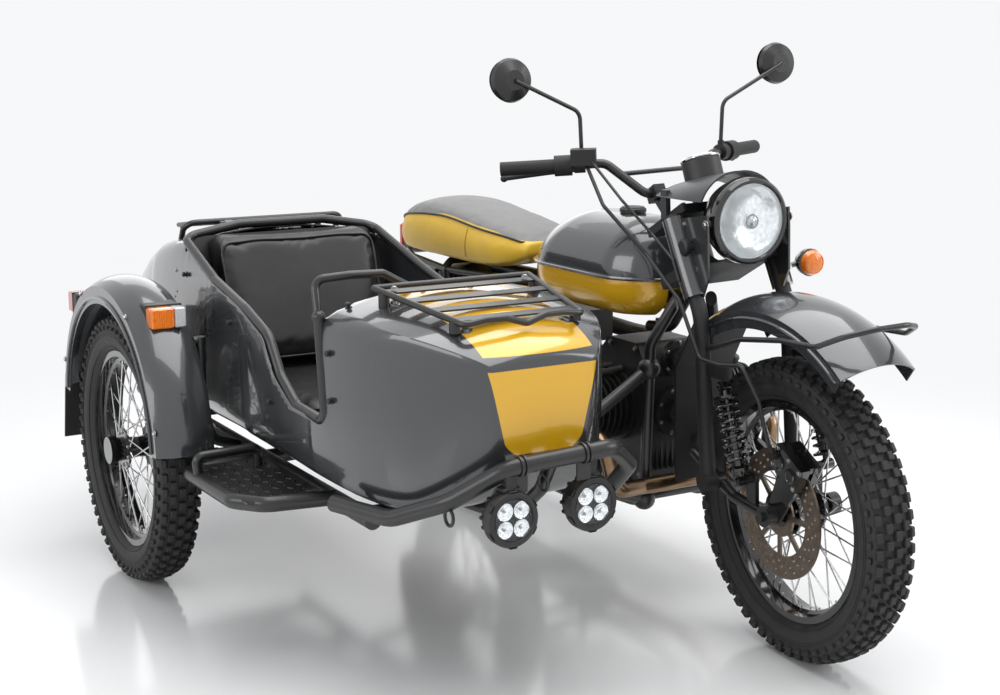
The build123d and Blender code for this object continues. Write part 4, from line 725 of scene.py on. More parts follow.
def bodyInside():
    # the wall behind the back rest, the floor under the cushion and the lid's hinge blocks
    store, pins, wall = gather(), gather(), []
    rows, top, foot, thick = 12, (108, 862), (234, 414), 6
    for k in range(rows + 1):
        share = k / rows
        x, z = top[0] + (foot[0] - top[0]) * share, top[1] + (foot[1] - top[1]) * share
        near = [y for y, q in halfSection(x) if abs(q - z) < 30]
        wall.append((x, max(near) - thick if near else 200, z))
    for (xa, ya, za), (xb, yb, zb) in zip(wall, wall[1:]):
        for d, face in ((0, (0, 1, 2, 3)), (thick, (0, 3, 2, 1))):
            corners = [(xa + d, tubY - ya, za), (xa + d, tubY + ya, za), (xb + d, tubY + yb, zb),
                       (xb + d, tubY - yb, zb)]
            put(store, (corners, [face]))
    put(store, blockMesh((500, 458, 30), 6), (490, tubY, 421))
    for side in (-1, 1):
        hinge = tubY + side * 120
        for end in (-1, 1):
            put(store, blockMesh((26, 8, 32), 1.2), (36, hinge + end * 18, 871))
        putFacing(pins, spun([(0, -23), (4, -23), (4, 23), (0, 23)], 14), (31, hinge, 880), (0, 1, 0))
    addMesh("sidecarInside", store, "blackSatin", "chassis")
    addMesh("lidPins", pins, "brightSteel", "chassis")


bodyInside()

# a yellow field over the cowl's top and front, with a dark band under the cowl's edge, in the frame's metres
bodyPaint = {"fieldHalf": 0.150, "fieldHalfFront": 0.128, "fieldStart": 0.395, "fieldEnd": 0.82, "front": 0.795,
             "frontLow": 0.553, "bandLow": 0.727, "bandHigh": 0.754, "corner": 0.030, "roundness": 0.7,
             "lean": 0.24}


def bodyMask(tree):
    def multiply(a, b):
        return combine(tree, "MULTIPLY", a, b)

    def below(height):
        return combine(tree, "MAXIMUM", combine(tree, "SUBTRACT", height, z), 0.0)

    x, y, z = objectAxes(tree)
    look = bodyPaint
    across = combine(tree, "ABSOLUTE", combine(tree, "SUBTRACT", y, (tubY + bikeY) / 1000))
    narrowing = newNode(tree, "MapRange", {
        "Value": x, "From Min": look["fieldStart"], "From Max": look["fieldEnd"],
        "To Min": look["fieldHalf"], "To Max": look["fieldHalfFront"]})
    # the panel's lower corners are rounded: the edge draws in over its last height
    drop = below(look["frontLow"] + look["corner"])
    curve = multiply(multiply(drop, drop), look["roundness"] / look["corner"])
    curve = combine(tree, "ADD", curve, multiply(below(look["bandLow"]), look["lean"]))
    half = combine(tree, "SUBTRACT", narrowing.outputs["Result"], curve)
    inside = greater(tree, combine(tree, "SUBTRACT", half, across), 0.0)
    ahead = greater(tree, x, look["fieldStart"])
    front = greater(tree, x, look["front"])
    above, low, high = (greater(tree, z, look[key]) for key in ("frontLow", "bandLow", "bandHigh"))
    band = multiply(combine(tree, "SUBTRACT", low, high), front)
    sides = combine(tree, "MAXIMUM", high, front)
    field = multiply(multiply(multiply(inside, ahead), above), sides)
    return multiply(field, combine(tree, "SUBTRACT", above, band))


dress(bodyObject, twoTone("bodyPaint", "greyPaint", "yellowPaint", bodyMask))


def skinPoint(x, y, z, direction):
    # where a line from (x, y, z) meets the body's skin, with the skin's normal
    hit, where, normal, _ = bodyObject.ray_cast(place((x, y, z)), Vector(direction))
    if not hit:
        return Vector((x, y, z)), Vector(direction) * -1
    return unplace(where), normal


print("body made")


def swell(obj, voxel, inset, cap):
    # remesh, draw in a little, then let cloth pressure plump the cover
    remesh = obj.modifiers.new("remesh", "REMESH")
    remesh.mode = "VOXEL"
    remesh.voxel_size = voxel
    applyModifiers(obj)
    mesh = obj.data
    normals = [v.normal.copy() for v in mesh.vertices]
    for v, n in zip(mesh.vertices, normals):
        v.co -= n * inset
    bm = bmesh.new()
    bm.from_mesh(mesh)
    for _ in range(4):
        bmesh.ops.smooth_vert(bm, verts=bm.verts, factor=0.5, use_axis_x=True, use_axis_y=True, use_axis_z=True)
    bm.to_mesh(mesh)
    bm.free()
    start = [v.co.copy() for v in mesh.vertices]
    steps = 20
    cloth = obj.modifiers.new("cloth", "CLOTH")
    cloth.settings.use_pressure = True
    cloth.settings.uniform_pressure_force = 4
    cloth.settings.effector_weights.gravity = 0
    cloth.settings.quality = 4
    cloth.point_cache.frame_start = 1
    cloth.point_cache.frame_end = steps
    for step in range(1, steps + 1):
        bpy.context.scene.frame_set(step)
    applyModifiers(obj)
    bpy.context.scene.frame_set(1)
    for v, old in zip(obj.data.vertices, start):
        move = v.co - old
        if move.length > cap:
            v.co = old + move.normalized() * cap
    shadeSmooth(obj.data)


def drape(obj, height, scale, seed):
    # slow waves in a padded cover, as if sat on
    for v in obj.data.vertices:
        v.co += v.normal * (noise.noise(v.co * scale + Vector((seed, 0, 0))) * height)


softGoods = {
    "seat": dict(voxel=0.008, inset=0.007, cap=0.006, fill=0.9, slot="vinyl_yellow", body="chassis"),
    "sidecar_cushion": dict(voxel=0.008, inset=0.011, cap=0.010, fill=0.7, slot="vinyl_black", body="chassis"),
    "sidecar_backrest": dict(voxel=0.008, inset=0.010, cap=0.009, fill=0.8, slot="vinyl_black", body="chassis"),
}
softPieces = {}
for node, goods in softGoods.items():
    piece = newObject(node + "Cover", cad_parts[node].data.copy())
    swell(piece, goods["voxel"], goods["inset"], goods["cap"])
    drape(piece, 0.0014, 9, len(node))
    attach(piece, goods["body"])
    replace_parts(piece, node)
    softPieces[node] = piece
    print("soft piece", node, len(piece.data.vertices))

# along the seat: half width, then the heights of its foot and its top; its grey top begins at topShare
seatRows = [(-290, 96, 752, 812), (-220, 134, 742, 872), (40, 146, 738, 902), (260, 138, 742, 876),
            (460, 104, 790, 838)]
topShare = 0.80


def seatRow(x):
    for a, b in zip(seatRows, seatRows[1:]):
        if x <= b[0] or b is seatRows[-1]:
            t = min(max((x - a[0]) / (b[0] - a[0]), 0), 1)
            t = t * t * (3 - 2 * t) * 0.5 + t * 0.5
            return [p + (q - p) * t for p, q in zip(a, b)]


def seatShare(co):
    # how far a point of the seat's cover lies above the line between its side and its top
    x, z = co.x * 1000 - rearAxleX, co.z * 1000
    _, _, low, high = seatRow(x)
    ends = min(max((x + 276) / 30, 0), 1)
    return (z - low) / (high - low) - topShare + 0.25 * (1 - ends)


seatPiece = softPieces["seat"]
share = seatPiece.data.attributes.new("topShare", "FLOAT", "POINT")
for i, v in enumerate(seatPiece.data.vertices):
    share.data[i].value = seatShare(v.co)


def seatMask(tree):
    node = newNode(tree, "Attribute", attribute_name="topShare")
    return greater(tree, node.outputs["Fac"], 0.0, 0.01)


dress(seatPiece, twoTone("seatVinyl", "vinylYellow", "vinylGrey", seatMask, 0.4, True))
for node in ("sidecar_cushion", "sidecar_backrest"):
    dress(softPieces[node], finish("vinylBlack"))


def onSurface(obj, point, lift):
    # the nearest place on a soft cover, lifted off it
    ok, where, normal, _ = obj.closest_point_on_mesh(point)
    return where + normal * lift


def piping(name, obj, guide, radius, material):
    # a closed welt laid on a cover along a guide line given in the frame's metres
    line = [onSurface(obj, p, radius * 0.7) for p in guide]
    for _ in range(3):
        line = [p * 0.5 + (line[i - 1] + line[(i + 1) % len(line)]) * 0.25 for i, p in enumerate(line)]
    mesh = newMesh(name, *sweptTube(line + [line[0]], radius, 6, False))
    shadeSmooth(mesh)
    addPiece(mesh, material, "chassis")


def rounded(w, h, r, count=10):
    # a rounded rectangle's outline
    out = []
    for cx, cy, start in ((w - r, h - r, 0), (-w + r, h - r, 90), (-w + r, -h + r, 180), (w - r, -h + r, 270)):
        out += [(cx + r * cos(radians(start + 90 * k / count)), cy + r * sin(radians(start + 90 * k / count)))
                for k in range(count + 1)]
    dense = []
    for a, b in zip(out, out[1:] + out[:1]):
        n = max(1, int(hypot(b[0] - a[0], b[1] - a[1]) / 12))
        dense += [(a[0] + (b[0] - a[0]) * k / n, a[1] + (b[1] - a[1]) * k / n) for k in range(n)]
    return dense


def seatGuide():
    right, left, count = [], [], 70
    for k in range(count):
        x = -262 + 710 * k / (count - 1)
        _, half, low, high = seatRow(x)
        z = low + (high - low) * topShare
        right.append(place((x, -half * 0.93, z)))
        left.append(place((x, half * 0.93, z)))
    return right + left[::-1]


piping("seatPiping", seatPiece, seatGuide(), 0.0034, "blackPlastic")
backFront = [place((217 + (157 - v) * 0.392, tubY + u, 705 + v)) for u, v in rounded(224, 158, 50)]
piping("backrestPiping", softPieces["sidecar_backrest"], backFront, 0.0038, "vinylBlack")
cushionTop = [place((492 + u, tubY + v, 522)) for u, v in rounded(242, 207, 50)]
piping("cushionPiping", softPieces["sidecar_cushion"], cushionTop, 0.0036, "vinylBlack")


def seams():
    # one short upright seam in each of the seat's sides
    store = gather()
    x, steps = 168, 14
    _, half, low, high = seatRow(x)
    for side in (-1, 1):
        line = []
        for k in range(steps + 1):
            t = k / steps
            at = (x + 10 * t, side * half * (1.0 + 0.05 * (1 - t)), low + (high - low) * (0.08 + 0.66 * t))
            line.append(onSurface(seatPiece, place(at), 0.0004))
        put(store, sweptTube(line, 0.0013, 6))
    addPiece(newMesh("seatSeams", *store), "vinylSeam", "chassis")


seams()
print("soft goods made")


def addShock(store, low, high, y, wire, turns):
    # a coil-over shock absorber between two eyes
    coilRadius, eye, eyeHalf = 27, 12, 11
    foot, top = Vector((low[0], y, low[1])), Vector((high[0], y, high[1]))
    up = (top - foot).normalized()
    side = Vector((0, 1, 0))
    front = side.cross(up)
    length = (top - foot).length
    start = eye + 9
    end, free = length - start, length - 2 * start
    damper = [(0, start), (coilRadius + 2, start), (coilRadius + 2, start + 6), (coilRadius - 8, start + 10),
              (15, start + 12), (15, start + free * 0.52), (7, start + free * 0.53), (7, end - 10),
              (coilRadius - 7, end - 9), (coilRadius + 1, end - 5), (coilRadius + 1, end), (10, end + 1),
              (9, length), (0, length)]
    for profile in (damper, [(0, 0), (9, 0), (9, start), (0, start)]):
        put(store, spun(profile, 22), foot, (front, side, up))
    coil = []
    steps = int(turns * 22)
    for k in range(steps + 1):
        t = k / steps
        across, along = around(coilRadius - wire, 2 * pi * turns * t)
        coil.append(foot + up * (start + 8 + wire + (free - 16 - 2 * wire) * t) + front * across + side * along)
    put(store, sweptTube(coil, wire, 8))
    outward = Vector((0, -1 if y < 0 else 1, 0))
    bush = spun([(5.5, -eyeHalf), (eye, -eyeHalf), (eye, eyeHalf), (5.5, eyeHalf), (5.5, -eyeHalf)], 20)
    for centre in (foot, top):
        put(store, bush, centre, (front, up, side))
        putFacing(store, boltMesh(6.5, 5), centre + outward * eyeHalf, outward)


# each pair's lower and upper eye, distance from the middle, wire radius and turns
shockRows = {
    ("frontShocks", "steering", "fork_shocks"): ((1415, 415), (1352, 617), 118, 3.8, 8.5),
    ("rearShocks", "chassis", "rear_shocks"): ((-20, 362), (-60, 674), 120, 4.2, 9.5),
}
for (name, body, node), (low, high, y, wire, turns) in shockRows.items():
    store = gather()
    for s in (-1, 1):
        addShock(store, low, high, s * y, wire, turns)
    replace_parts(addMesh(name, store, "blackGloss", body), node)


# the lamps' own materials; no lamp is lit, and the reflectors and lenses carry a painted glow
def facetBump(tree, shader, scale, strength, distance=0.002):
    cells = newNode(tree, "TexVoronoi", {"Vector": objectPlace(tree), "Scale": scale})
    bump = newNode(tree, "Bump", {"Height": cells.outputs["Distance"], "Strength": strength,
                                  "Distance": distance})
    feed(tree, shader, {"Normal": bump.outputs["Normal"]})


def glassFinish():
    _, tree, shader = newMaterial("lampGlass")
    feed(tree, shader, {"Base Color": (0.95, 0.97, 0.98, 1), "Roughness": 0.02, "Transmission Weight": 1.0,
                        "IOR": 1.35})
    facetBump(tree, shader, 45, 0.05)


def reflectorFinish(name, colour, scale, strength):
    _, tree, shader = newMaterial(name)
    tone = toneNode(tree, dict(colour=colour, second=[c * 0.55 for c in colour], scale=90, amount=0.7))
    # painted light: the emission gives the unlit reflector a faint white glow, a painted reflection of the
    # studio light
    feed(tree, shader, {"Base Color": tone.outputs["Colour"], "Metallic": 1.0, "Roughness": 0.2,
                        "Emission Color": (0.9, 0.93, 0.95, 1), "Emission Strength": 0.22})
    facetBump(tree, shader, scale, strength, 0.004)


def lensFinish(name, look):
    _, tree, shader = newMaterial(name)
    colour = toneNode(tree, finishes[look]).outputs["Colour"]
    # painted light: the emission makes the unlit lens glow faintly in its own colour
    feed(tree, shader, {"Base Color": colour, "Emission Color": colour, "Emission Strength": 0.12,
                        "Roughness": 0.12, "Coat Weight": 1.0})
    facetBump(tree, shader, 170, 0.35)


glassFinish()
reflectorFinish("lampMirror", (0.93, 0.94, 0.95), 38, 0.16)
reflectorFinish("smallMirror", (0.86, 0.87, 0.88), 130, 0.7)
lensFinish("amberPaintedGlow", "amberLens")
lensFinish("redPaintedGlow", "redLens")


def headlight():
    # turned shapes about the lamp's axis: (radius, distance ahead)
    centre = (0, 0, 967.5)
    bowl = [(84, 1287), (81, 1282.5), (70, 1279), (50, 1276.4), (25, 1274.9), (0, 1274.5)]
    shade = [(17, 1275), (17, 1283), (14, 1288), (8, 1291), (0, 1292)]
    glassFront = [(84, 1275), (84, 1289), (79, 1293.5), (66, 1297), (46, 1300.5), (24, 1303), (0, 1303.8)]
    glassBack = [(0, 1301), (24, 1300.2), (46, 1297.7), (66, 1294.2), (77, 1291), (81.5, 1287), (81.5, 1275.5),
                 (84, 1275)]
    ring = [(84.5, 1288), (84.5, 1292), (87, 1294), (92, 1293.5), (97.6, 1288), (98.4, 1280), (98.4, 1262),
            (97, 1259), (95, 1262), (95, 1285), (84.5, 1288)]

    def turnedPiece(name, profiles, count, material):
        store = gather()
        for profile in profiles:
            put(store, spun(profile, count), centre, facingAhead)
        return addMesh(name, store, material, "steering")

    turnedPiece("headlightReflector", [bowl], 60, "lampMirror")
    turnedPiece("headlightBulbShade", [shade], 24, "chrome")
    glass = turnedPiece("headlightGlass", [glassFront, glassBack], 64, "lampGlass")
    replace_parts(glass, "headlight_lens")
    turnedPiece("headlightRing", [ring], 64, "blackGloss")


headlight()


def drivingLamps():
    housing, mirrors, glass, bright = gather(), gather(), gather(), gather()
    shell = [(0, -12), (42, -12), (42, -5), (45, -0.5), (50, 0), (55.5, -2), (57.5, -6), (57.5, -24), (55, -27),
             (49, -28), (45, -52), (30, -58), (0, -62)]
    # parts set round the axis: how many, their shift, size, bevel, radius and distance ahead
    bowl = spun([(18, -5.0), (16.5, -6.5), (11, -9.5), (5, -11.2), (0, -11.5)], 20)
    ribs, lugs = (14, 0.0, (12, 8, 26), 2.4, 44.5, -41), (6, 0.5, (6, 19, 15), 2.2, 56.2, -9)
    for x, y, z in ((1500, -770, 445), (1490, -575, 445)):
        put(housing, spun(shell, 48), (x, y, z), facingAhead)
        for count, shift, size, bevel, radius, ahead in (ribs, lugs):
            for a in ringAngles(count, shift):
                out = Vector((0, cos(a), sin(a)))
                at = Vector((x, y, z)) + out * radius + Vector((ahead, 0, 0))
                put(housing, blockMesh(size, bevel), at, (out, (0, -sin(a), cos(a)), (1, 0, 0)))
        for dy, dz in ((-18.5, 18.5), (18.5, 18.5), (-18.5, -18.5), (18.5, -18.5)):
            cell = (x, y + dy, z + dz)
            put(mirrors, bowl, cell, facingAhead)
            put(bright, spun([(3.4, -11), (3.4, -8), (2, -6.6), (0, -6.4)], 12), cell, facingAhead)
        cover = spun([(0, -4.0), (42.5, -4.0), (42.5, -2.4), (30, -1.4), (0, -1.0)], 40)
        put(glass, cover, (x, y, z), facingAhead)
        put(housing, blockMesh((20, 24, 46), 2), (x - 20, y, z + 76))
        put(housing, blockMesh((26, 40, 8), 1.5), (x - 22, y, z + 60))
        for s in (-1, 1):
            putFacing(bright, boltMesh(4.5, 4), (x - 20, y + s * 12, z + 84), (0, s, 0))
    body = addMesh("drivingLampHousings", housing, "blackPlastic", "chassis")
    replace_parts(body, "driving_lamps")
    addMesh("drivingLampMirrors", mirrors, "smallMirror", "chassis")
    addMesh("drivingLampBulbs", bright, "brightSteel", "chassis")
    addMesh("drivingLampGlasses", glass, "lampGlass", "chassis")


drivingLamps()


def boxLamps():
    housing, amber, clear, red = gather(), gather(), gather(), gather()
    for store, bevel, size, at in (
            (housing, 4, (70, 88, 54), (366, -1090, 714)), (amber, 3, (44, 56, 48), (424, -1106, 714)),
            (clear, 3, (44, 27, 48), (424, -1062.5, 714)), (housing, 4, (34, 76, 56), (-142, -1112, 668)),
            (red, 3, (44, 74, 54), (-184, -1112, 668)), (housing, 1, (4, 90, 56), (402, -1090, 714)),
            (housing, 1, (4, 78, 58), (-161, -1112, 668))):
        put(store, blockMesh(size, bevel), at)
    for k in range(9):      # moulded flutes behind the lens
        put(amber, blockMesh((2, 1.2, 42), 0.3), (446.4, -1129 + k * 5.8, 714))
    lamp = addMesh("sidecarLampHousings", housing, "blackPlastic", "chassis")
    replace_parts(lamp, "sidecar_lamps")
    addMesh("sidecarLampAmber", amber, "amberPaintedGlow", "chassis")
    addMesh("sidecarLampClear", clear, "clearLens", "chassis")
    addMesh("sidecarLampRed", red, "redPaintedGlow", "chassis")


boxLamps()


def indicator():
    shell, lens, nut = gather(), gather(), gather()
    y, z = 200, 846
    body = [(0, 1204), (16, 1205), (27, 1212), (31, 1222), (32.6, 1232), (32.6, 1238), (30, 1239), (0, 1239)]
    put(shell, spun(body, 36), (0, y, z), facingAhead)
    face = [(29.5, 1238), (29.5, 1247), (26, 1254), (18, 1258), (0, 1259)]
    put(lens, spun(face, 36), (0, y, z), facingAhead)
    for radius in (23, 17, 11):
        ring = hoop((1256.4 + (23 - radius) * 0.14, y, z), radius, 36, (0, 1, 0))
        put(lens, sweptTube(ring, 0.8, 5, False))
    put(shell, sweptTube([(1216, 148, 838), (1218, 160, 841), (1222, 180, z)], 6.5, 14))
    case = addMesh("indicatorShell", shell, "blackGloss", "steering")
    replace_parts(case, "front_indicator")
    addMesh("indicatorLens", lens, "amberPaintedGlow", "steering")
    putFacing(nut, spun([(0, 0), (11, 0), (11, 7), (8, 8), (0, 8)], 6), (1216.5, 150, 839), (6, 30, 8))
    addMesh("indicatorNut", nut, "chrome", "steering")


indicator()
print("lamps made")

# bolt heads on the fork covers and the nose rack: place, direction and size
boltRows = {
    "steering": [((1262, -100.6, 715), (0, -1, 0), 7), ((1262, 100.6, 715), (0, 1, 0), 7),
                 ((1232, -111.7, 862), (0, -1, 0), 6), ((1232, 111.7, 862), (0, 1, 0), 6),
                 ((1276, -111.7, 967.5), (0, -1, 0), 8), ((1276, 111.7, 967.5), (0, 1, 0), 8),
                 ((1186, -111.7, 960), (0, -1, 0), 5)],
    "chassis": [((1086, tubY - 162, 852), (0, 0, 1), 6), ((1086, tubY + 162, 852), (0, 0, 1), 6)],
}
for body, rows in boltRows.items():
    store = gather()
    for at, direction, size in rows:
        putFacing(store, boltMesh(size, size * 0.8), at, direction)
    addMesh(body + "Bolts", store, "brightSteel", body, sharp=0.4)


def studs():
    # the press studs that hold a cover over the cockpit, and the body's small bolts
    black, silver = gather(), gather()
    stud = spun([(0, 0), (8, 0), (8, 1.6), (4.2, 2.4), (4.2, 5), (6.4, 6.5), (6.4, 10), (4.6, 12.2),
                 (0, 12.8)], 16)
    washer = spun([(0, 0), (15, 0), (15, 2), (8, 3), (8, 6), (0, 6)], 20)
    down, inward, above, beside = (0, 0, -1), (0, 1, 0), 1000, tubY - 400

    def onBody(store, mesh, point, direction, sink):
        at, normal = skinPoint(*point, direction)
        putFacing(store, mesh, at - normal * sink, normal)

    for y in (-238, -60, 60, 238):
        onBody(black, stud, (1022, tubY + y, above), down, 0.5)
    for x, z in ((760, 560), (500, 700), (150, 770), (1052, 720), (1062, 620)):
        onBody(black, stud, (x, beside, z), inward, 0.5)
    for x, z, size in ((60, 770, 5), (70, 716, 3), (55, 700, 3)):
        onBody(silver, boltMesh(size, size * 0.7), (x, beside, z), inward, 0.3)
    for x, y in ((1086, 162), (1316, 120)):
        for s in (-1, 1):
            onBody(silver, washer, (x, tubY + s * y, above), down, 0.5)
    addMesh("coverStuds", black, "blackPlastic", "chassis")
    addMesh("bodyBolts", silver, "brightSteel", "chassis", sharp=0.4)


studs()


def tankSeam():
    # a bead all round the tank's base, found by looking in from a ring outside it
    tank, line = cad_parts["tank_base"], []
    middle, lookZ, beadZ = 741, 796.5, 798.5
    for a in ringAngles(120):
        start = place((middle + 520 * cos(a), 300 * sin(a), lookZ))
        hit, where, normal, _ = tank.ray_cast(start, place((middle, 0, lookZ)) - start)
        if hit:
            at = unplace(where)
            line.append(Vector((at.x, at.y, beadZ)))
    addMesh("tankSeam", sweptTube(line + [line[0]], 4.2, 10, False), "greyPaint", "chassis")


tankSeam()


def stepDetails():
    # raised dashes on the step's plate, leaning one way and the other
    dashes = gather()
    for i in range(11):
        for j in range(6):
            angle = radians(35 if (i + j) % 2 else -35)
            axes = ((cos(angle), sin(angle), 0), (-sin(angle), cos(angle), 0), (0, 0, 1))
            put(dashes, blockMesh((16, 4.5, 3), 1), (612 + i * 29 + (j % 2) * 14, -1086 + j * 28, 385.2), axes)
    addMesh("stepTread", dashes, "blackSatin", "chassis")


stepDetails()


def mudguardBeads():
    # bolts on the sidecar's mudguard, and a bead along the edges of both guards
    steel, sidecarBead, frontBead = gather(), gather(), gather()
    sidecarGuard, frontGuard, guardY = (178, 385), (1462, 350), -1101

    def guardPoint(centre, radius, y, degrees):
        return centre[0] + radius * cos(radians(degrees)), y, centre[1] + radius * sin(radians(degrees))

    def guardArc(centre, radius, y, start, stop, count=60):
        return [guardPoint(centre, radius, y, start + (stop - start) * k / count) for k in range(count + 1)]

    for degrees in (12, 60, 118, 160):
        for s in (-1, 1):
            at = guardPoint(sidecarGuard, 378, guardY + s * 71.5, degrees)
            putFacing(steel, boltMesh(6, 5), at, (0, s, 0))
    for s in (-1, 1):
        put(sidecarBead, sweptTube(guardArc(sidecarGuard, 345.5, guardY + s * 74, 4, 171), 4.0, 8))
        put(frontBead, sweptTube(guardArc(frontGuard, 431, s * 96, 53, 126), 3.6, 8))
    addMesh("sidecarMudguardBolts", steel, "brightSteel", "chassis", sharp=0.4)
    addMesh("sidecarMudguardBead", sidecarBead, "greyPaint", "chassis")
    addMesh("frontMudguardBead", frontBead, "greyPaint", "steering")


mudguardBeads()


def bumperFittings():
    rings, clamps, cap = gather(), gather(), gather()
    direction = Vector((8, 240, 12)).normalized()
    collar = spun([(18.2, -2.6), (21.5, -2.6), (21.5, 2.6), (18.2, 2.6)], 28)
    for y in (-745, -598):      # on the slanted middle tube
        along = (y + 770) / 240
        centre = Vector((1482 + 8 * along, y, 548 + 12 * along))
        for shift in (-5, 5):
            putFacing(clamps, collar, centre + direction * shift, direction)
        put(clamps, blockMesh((6, 34, 40), 1.5), centre + Vector((-4, 0, -38)))
    for centre in ((1402, -862, 440), (1478, -690, 505)):
        put(rings, sweptTube(hoop(centre, 17, 28), 3.6, 10, False))
    addMesh("bumperClamps", clamps, "blackSatin", "chassis")
    addMesh("bumperRings", rings, "blackSatin", "chassis")
    end = spun([(0, 3.4), (14, 3.2), (17.4, 1.5), (17.9, -1), (17.9, -5), (0, -5)], 28)
    putFacing(cap, end, (1105, -975, 410), (-165, -50, -2))
    addMesh("bumperEndCap", cap, "blackPlastic", "chassis")


bumperFittings()


def wheelDetails():
    # hub bolts, and spoke nipples at the rim
    nipple = spun([(0, 0), (2.6, 0), (2.9, 9), (0, 9)], 8)
    for which in wheelCentres:
        bright = gather()
        centre = Vector(wheelCentres[which])
        for side in (-1, 1):
            for a in ringAngles(10, 0.5):
                at = centre + Vector((43 * cos(a), side * 37.2, 43 * sin(a)))
                putFacing(bright, boltMesh(4, 3.2), at, (0, side, 0))
        for k, a in enumerate(ringAngles(40, 0.5)):
            out = Vector((cos(a), 0, sin(a)))
            putFacing(bright, nipple, centre + out * 218.5 + Vector((0, 8 if k % 2 else -8, 0)), out)
        addMesh(which + "WheelBolts", bright, "brightSteel", wheelBodies[which], sharp=0.4)


wheelDetails()


def caliperDetails():
    # piston covers and bolts on the brake caliper's outer face
    bright, dark = gather(), gather()
    angle, reach, face = radians(62), 142, (0, -1, 0)
    outward = Vector((cos(angle), 0, sin(angle)))
    tangent = Vector((sin(angle), 0, -cos(angle)))
    centre = Vector((1470 + reach * cos(angle), -86.0, 342.5 + reach * sin(angle)))
    for t in (-22, 22):
        cover = spun([(0, 0), (17, 0), (17, 3), (13, 5), (12, 3.4), (0, 3.4)], 24)
        putFacing(dark, cover, centre + tangent * t + outward * -3, face)
    for t, r in ((-42, 24), (42, 24), (0, 24), (-42, -22), (42, -22)):
        putFacing(bright, boltMesh(5, 4), centre + tangent * t + outward * r, face)
    addMesh("caliperPistons", dark, "blackGloss", "steering")
    addMesh("caliperBolts", bright, "brightSteel", "steering", sharp=0.4)


caliperDetails()


def controlDetails():
    switch, cap, knob = gather(), gather(), gather()
    putFacing(switch, spun([(0, 0), (7, 0), (7, 4), (5, 6), (0, 6)], 16), (842, -196, 1110), (0.2, 0, 1))
    addMesh("stopSwitch", switch, "redLens", "steering")
    for a in ringAngles(18):
        out = Vector((cos(a), sin(a), 0))
        axes = (out, (-sin(a), cos(a), 0), (0, 0, 1))
        put(cap, blockMesh((3, 4, 10), 0.8), Vector((801, 0, 945)) + out * 32, axes)
    put(cap, spun([(30.4, 0), (33, 1), (33, 9), (29, 13), (12, 15), (0, 15)], 30), (801, 0, 939))
    addMesh("fillerCapGrip", cap, "blackPlastic", "chassis")
    grip = spun([(0, 0), (8, 0), (8, 8), (17, 9), (19, 13), (19, 22), (15, 26), (0, 26)], 24)
    putFacing(knob, grip, (1214, -111.5, 912), (0, -1, 0))
    addMesh("forkCoverKnob", knob, "blackPlastic", "steering")


controlDetails()
print("small parts made")


def engineSide(cast, bright, side):
    # covers, fins and bolts on one side of the engine
    face = (0, side, 0)
    case, outer, ribs, boltSeat = side * 81, side * 81.5, side * 83.5, side * 87
    barrel, nuts, rocker, axleZ, coverZ = side * 288, side * 313.8, side * 314.2, 470, 424
    cover = [(0, 0), (66, 0), (66, 6), (61, 10), (50, 11), (46, 8), (34, 8), (30, 13), (14, 15), (0, 15)]
    putFacing(cast, spun(cover, 48), (612, case, coverZ), face)
    for a in ringAngles(8, 0.5):
        putFacing(bright, boltMesh(4, 4), (612 + 56 * cos(a), side * 91, coverZ + 56 * sin(a)), face)
    for k in range(5):      # ribs along the gearbox
        put(cast, blockMesh((150, 7, 6), 1.4), (628, ribs, 500 + k * 12))
    for k in range(7):      # fins under the sump
        put(cast, blockMesh((6, 7, 34), 1.4), (752 + k * 28, ribs, 300))
    boss = spun([(0, 0), (9, 0), (9, 4), (7, 6), (0, 6)], 18)
    for x, z in ((966, 312), (978, 430), (978, 548), (938, 622), (832, 622), (764, 548), (744, 400), (748, 292),
                 (812, 276), (900, 276)):
        putFacing(cast, boss, (x, outer, z), face)
        putFacing(bright, boltMesh(4, 4), (x, boltSeat, z), face)
    for x in (836, 884):      # push rod tubes along the top of the barrel
        put(bright, sweptTube([(x, side * 88, 566), (x, side * 150, 560), (x, side * 224, 556)], 8.5, 14))
    plugCap = spun([(0, 0), (9, 0), (9, 14), (12, 16), (12, 34), (9, 38), (0, 38)], 16)
    putFacing(cast, plugCap, (905, side * 236, 538), (0.5, 0.2 * side, 0.85))
    for k in range(5):      # the rocker cover's ribs, nuts and corner bolts
        rib = blockMesh((8, 116 - abs(k - 2) * 6, 7), 2)
        put(cast, rib, (816 + 22 * k, rocker, axleZ), ((1, 0, 0), (0, 0, 1), face))
    for dz in (-34, 34):
        putFacing(bright, boltMesh(6, 6), (849, nuts, axleZ + dz), face)
    for dx in (-66, 66):
        for dz in (-52, 52):
            putFacing(bright, boltMesh(5, 5), (860 + dx, barrel, axleZ + dz), face)
    union = spun([(21, 0), (31, 0), (31, 5), (26, 6), (26, 9), (31, 10), (31, 15), (26, 16), (26, 19), (30, 20),
                  (30, 24), (21, 25)], 30)
    putFacing(bright, union, (948, side * 256, 440), (1, 0, 0))
    inlet = spun([(0, 0), (24, 0), (26, 3), (26, 9), (20, 13), (8, 14), (8, 22), (0, 22)], 28)
    putFacing(cast, inlet, (706, side * 156, 620), (0, 0, 1))
    for a in ringAngles(4, 0.5):
        putFacing(bright, boltMesh(3, 3), (706 + 21 * cos(a), side * 156 + 21 * sin(a), 532), (0, 0, -1))


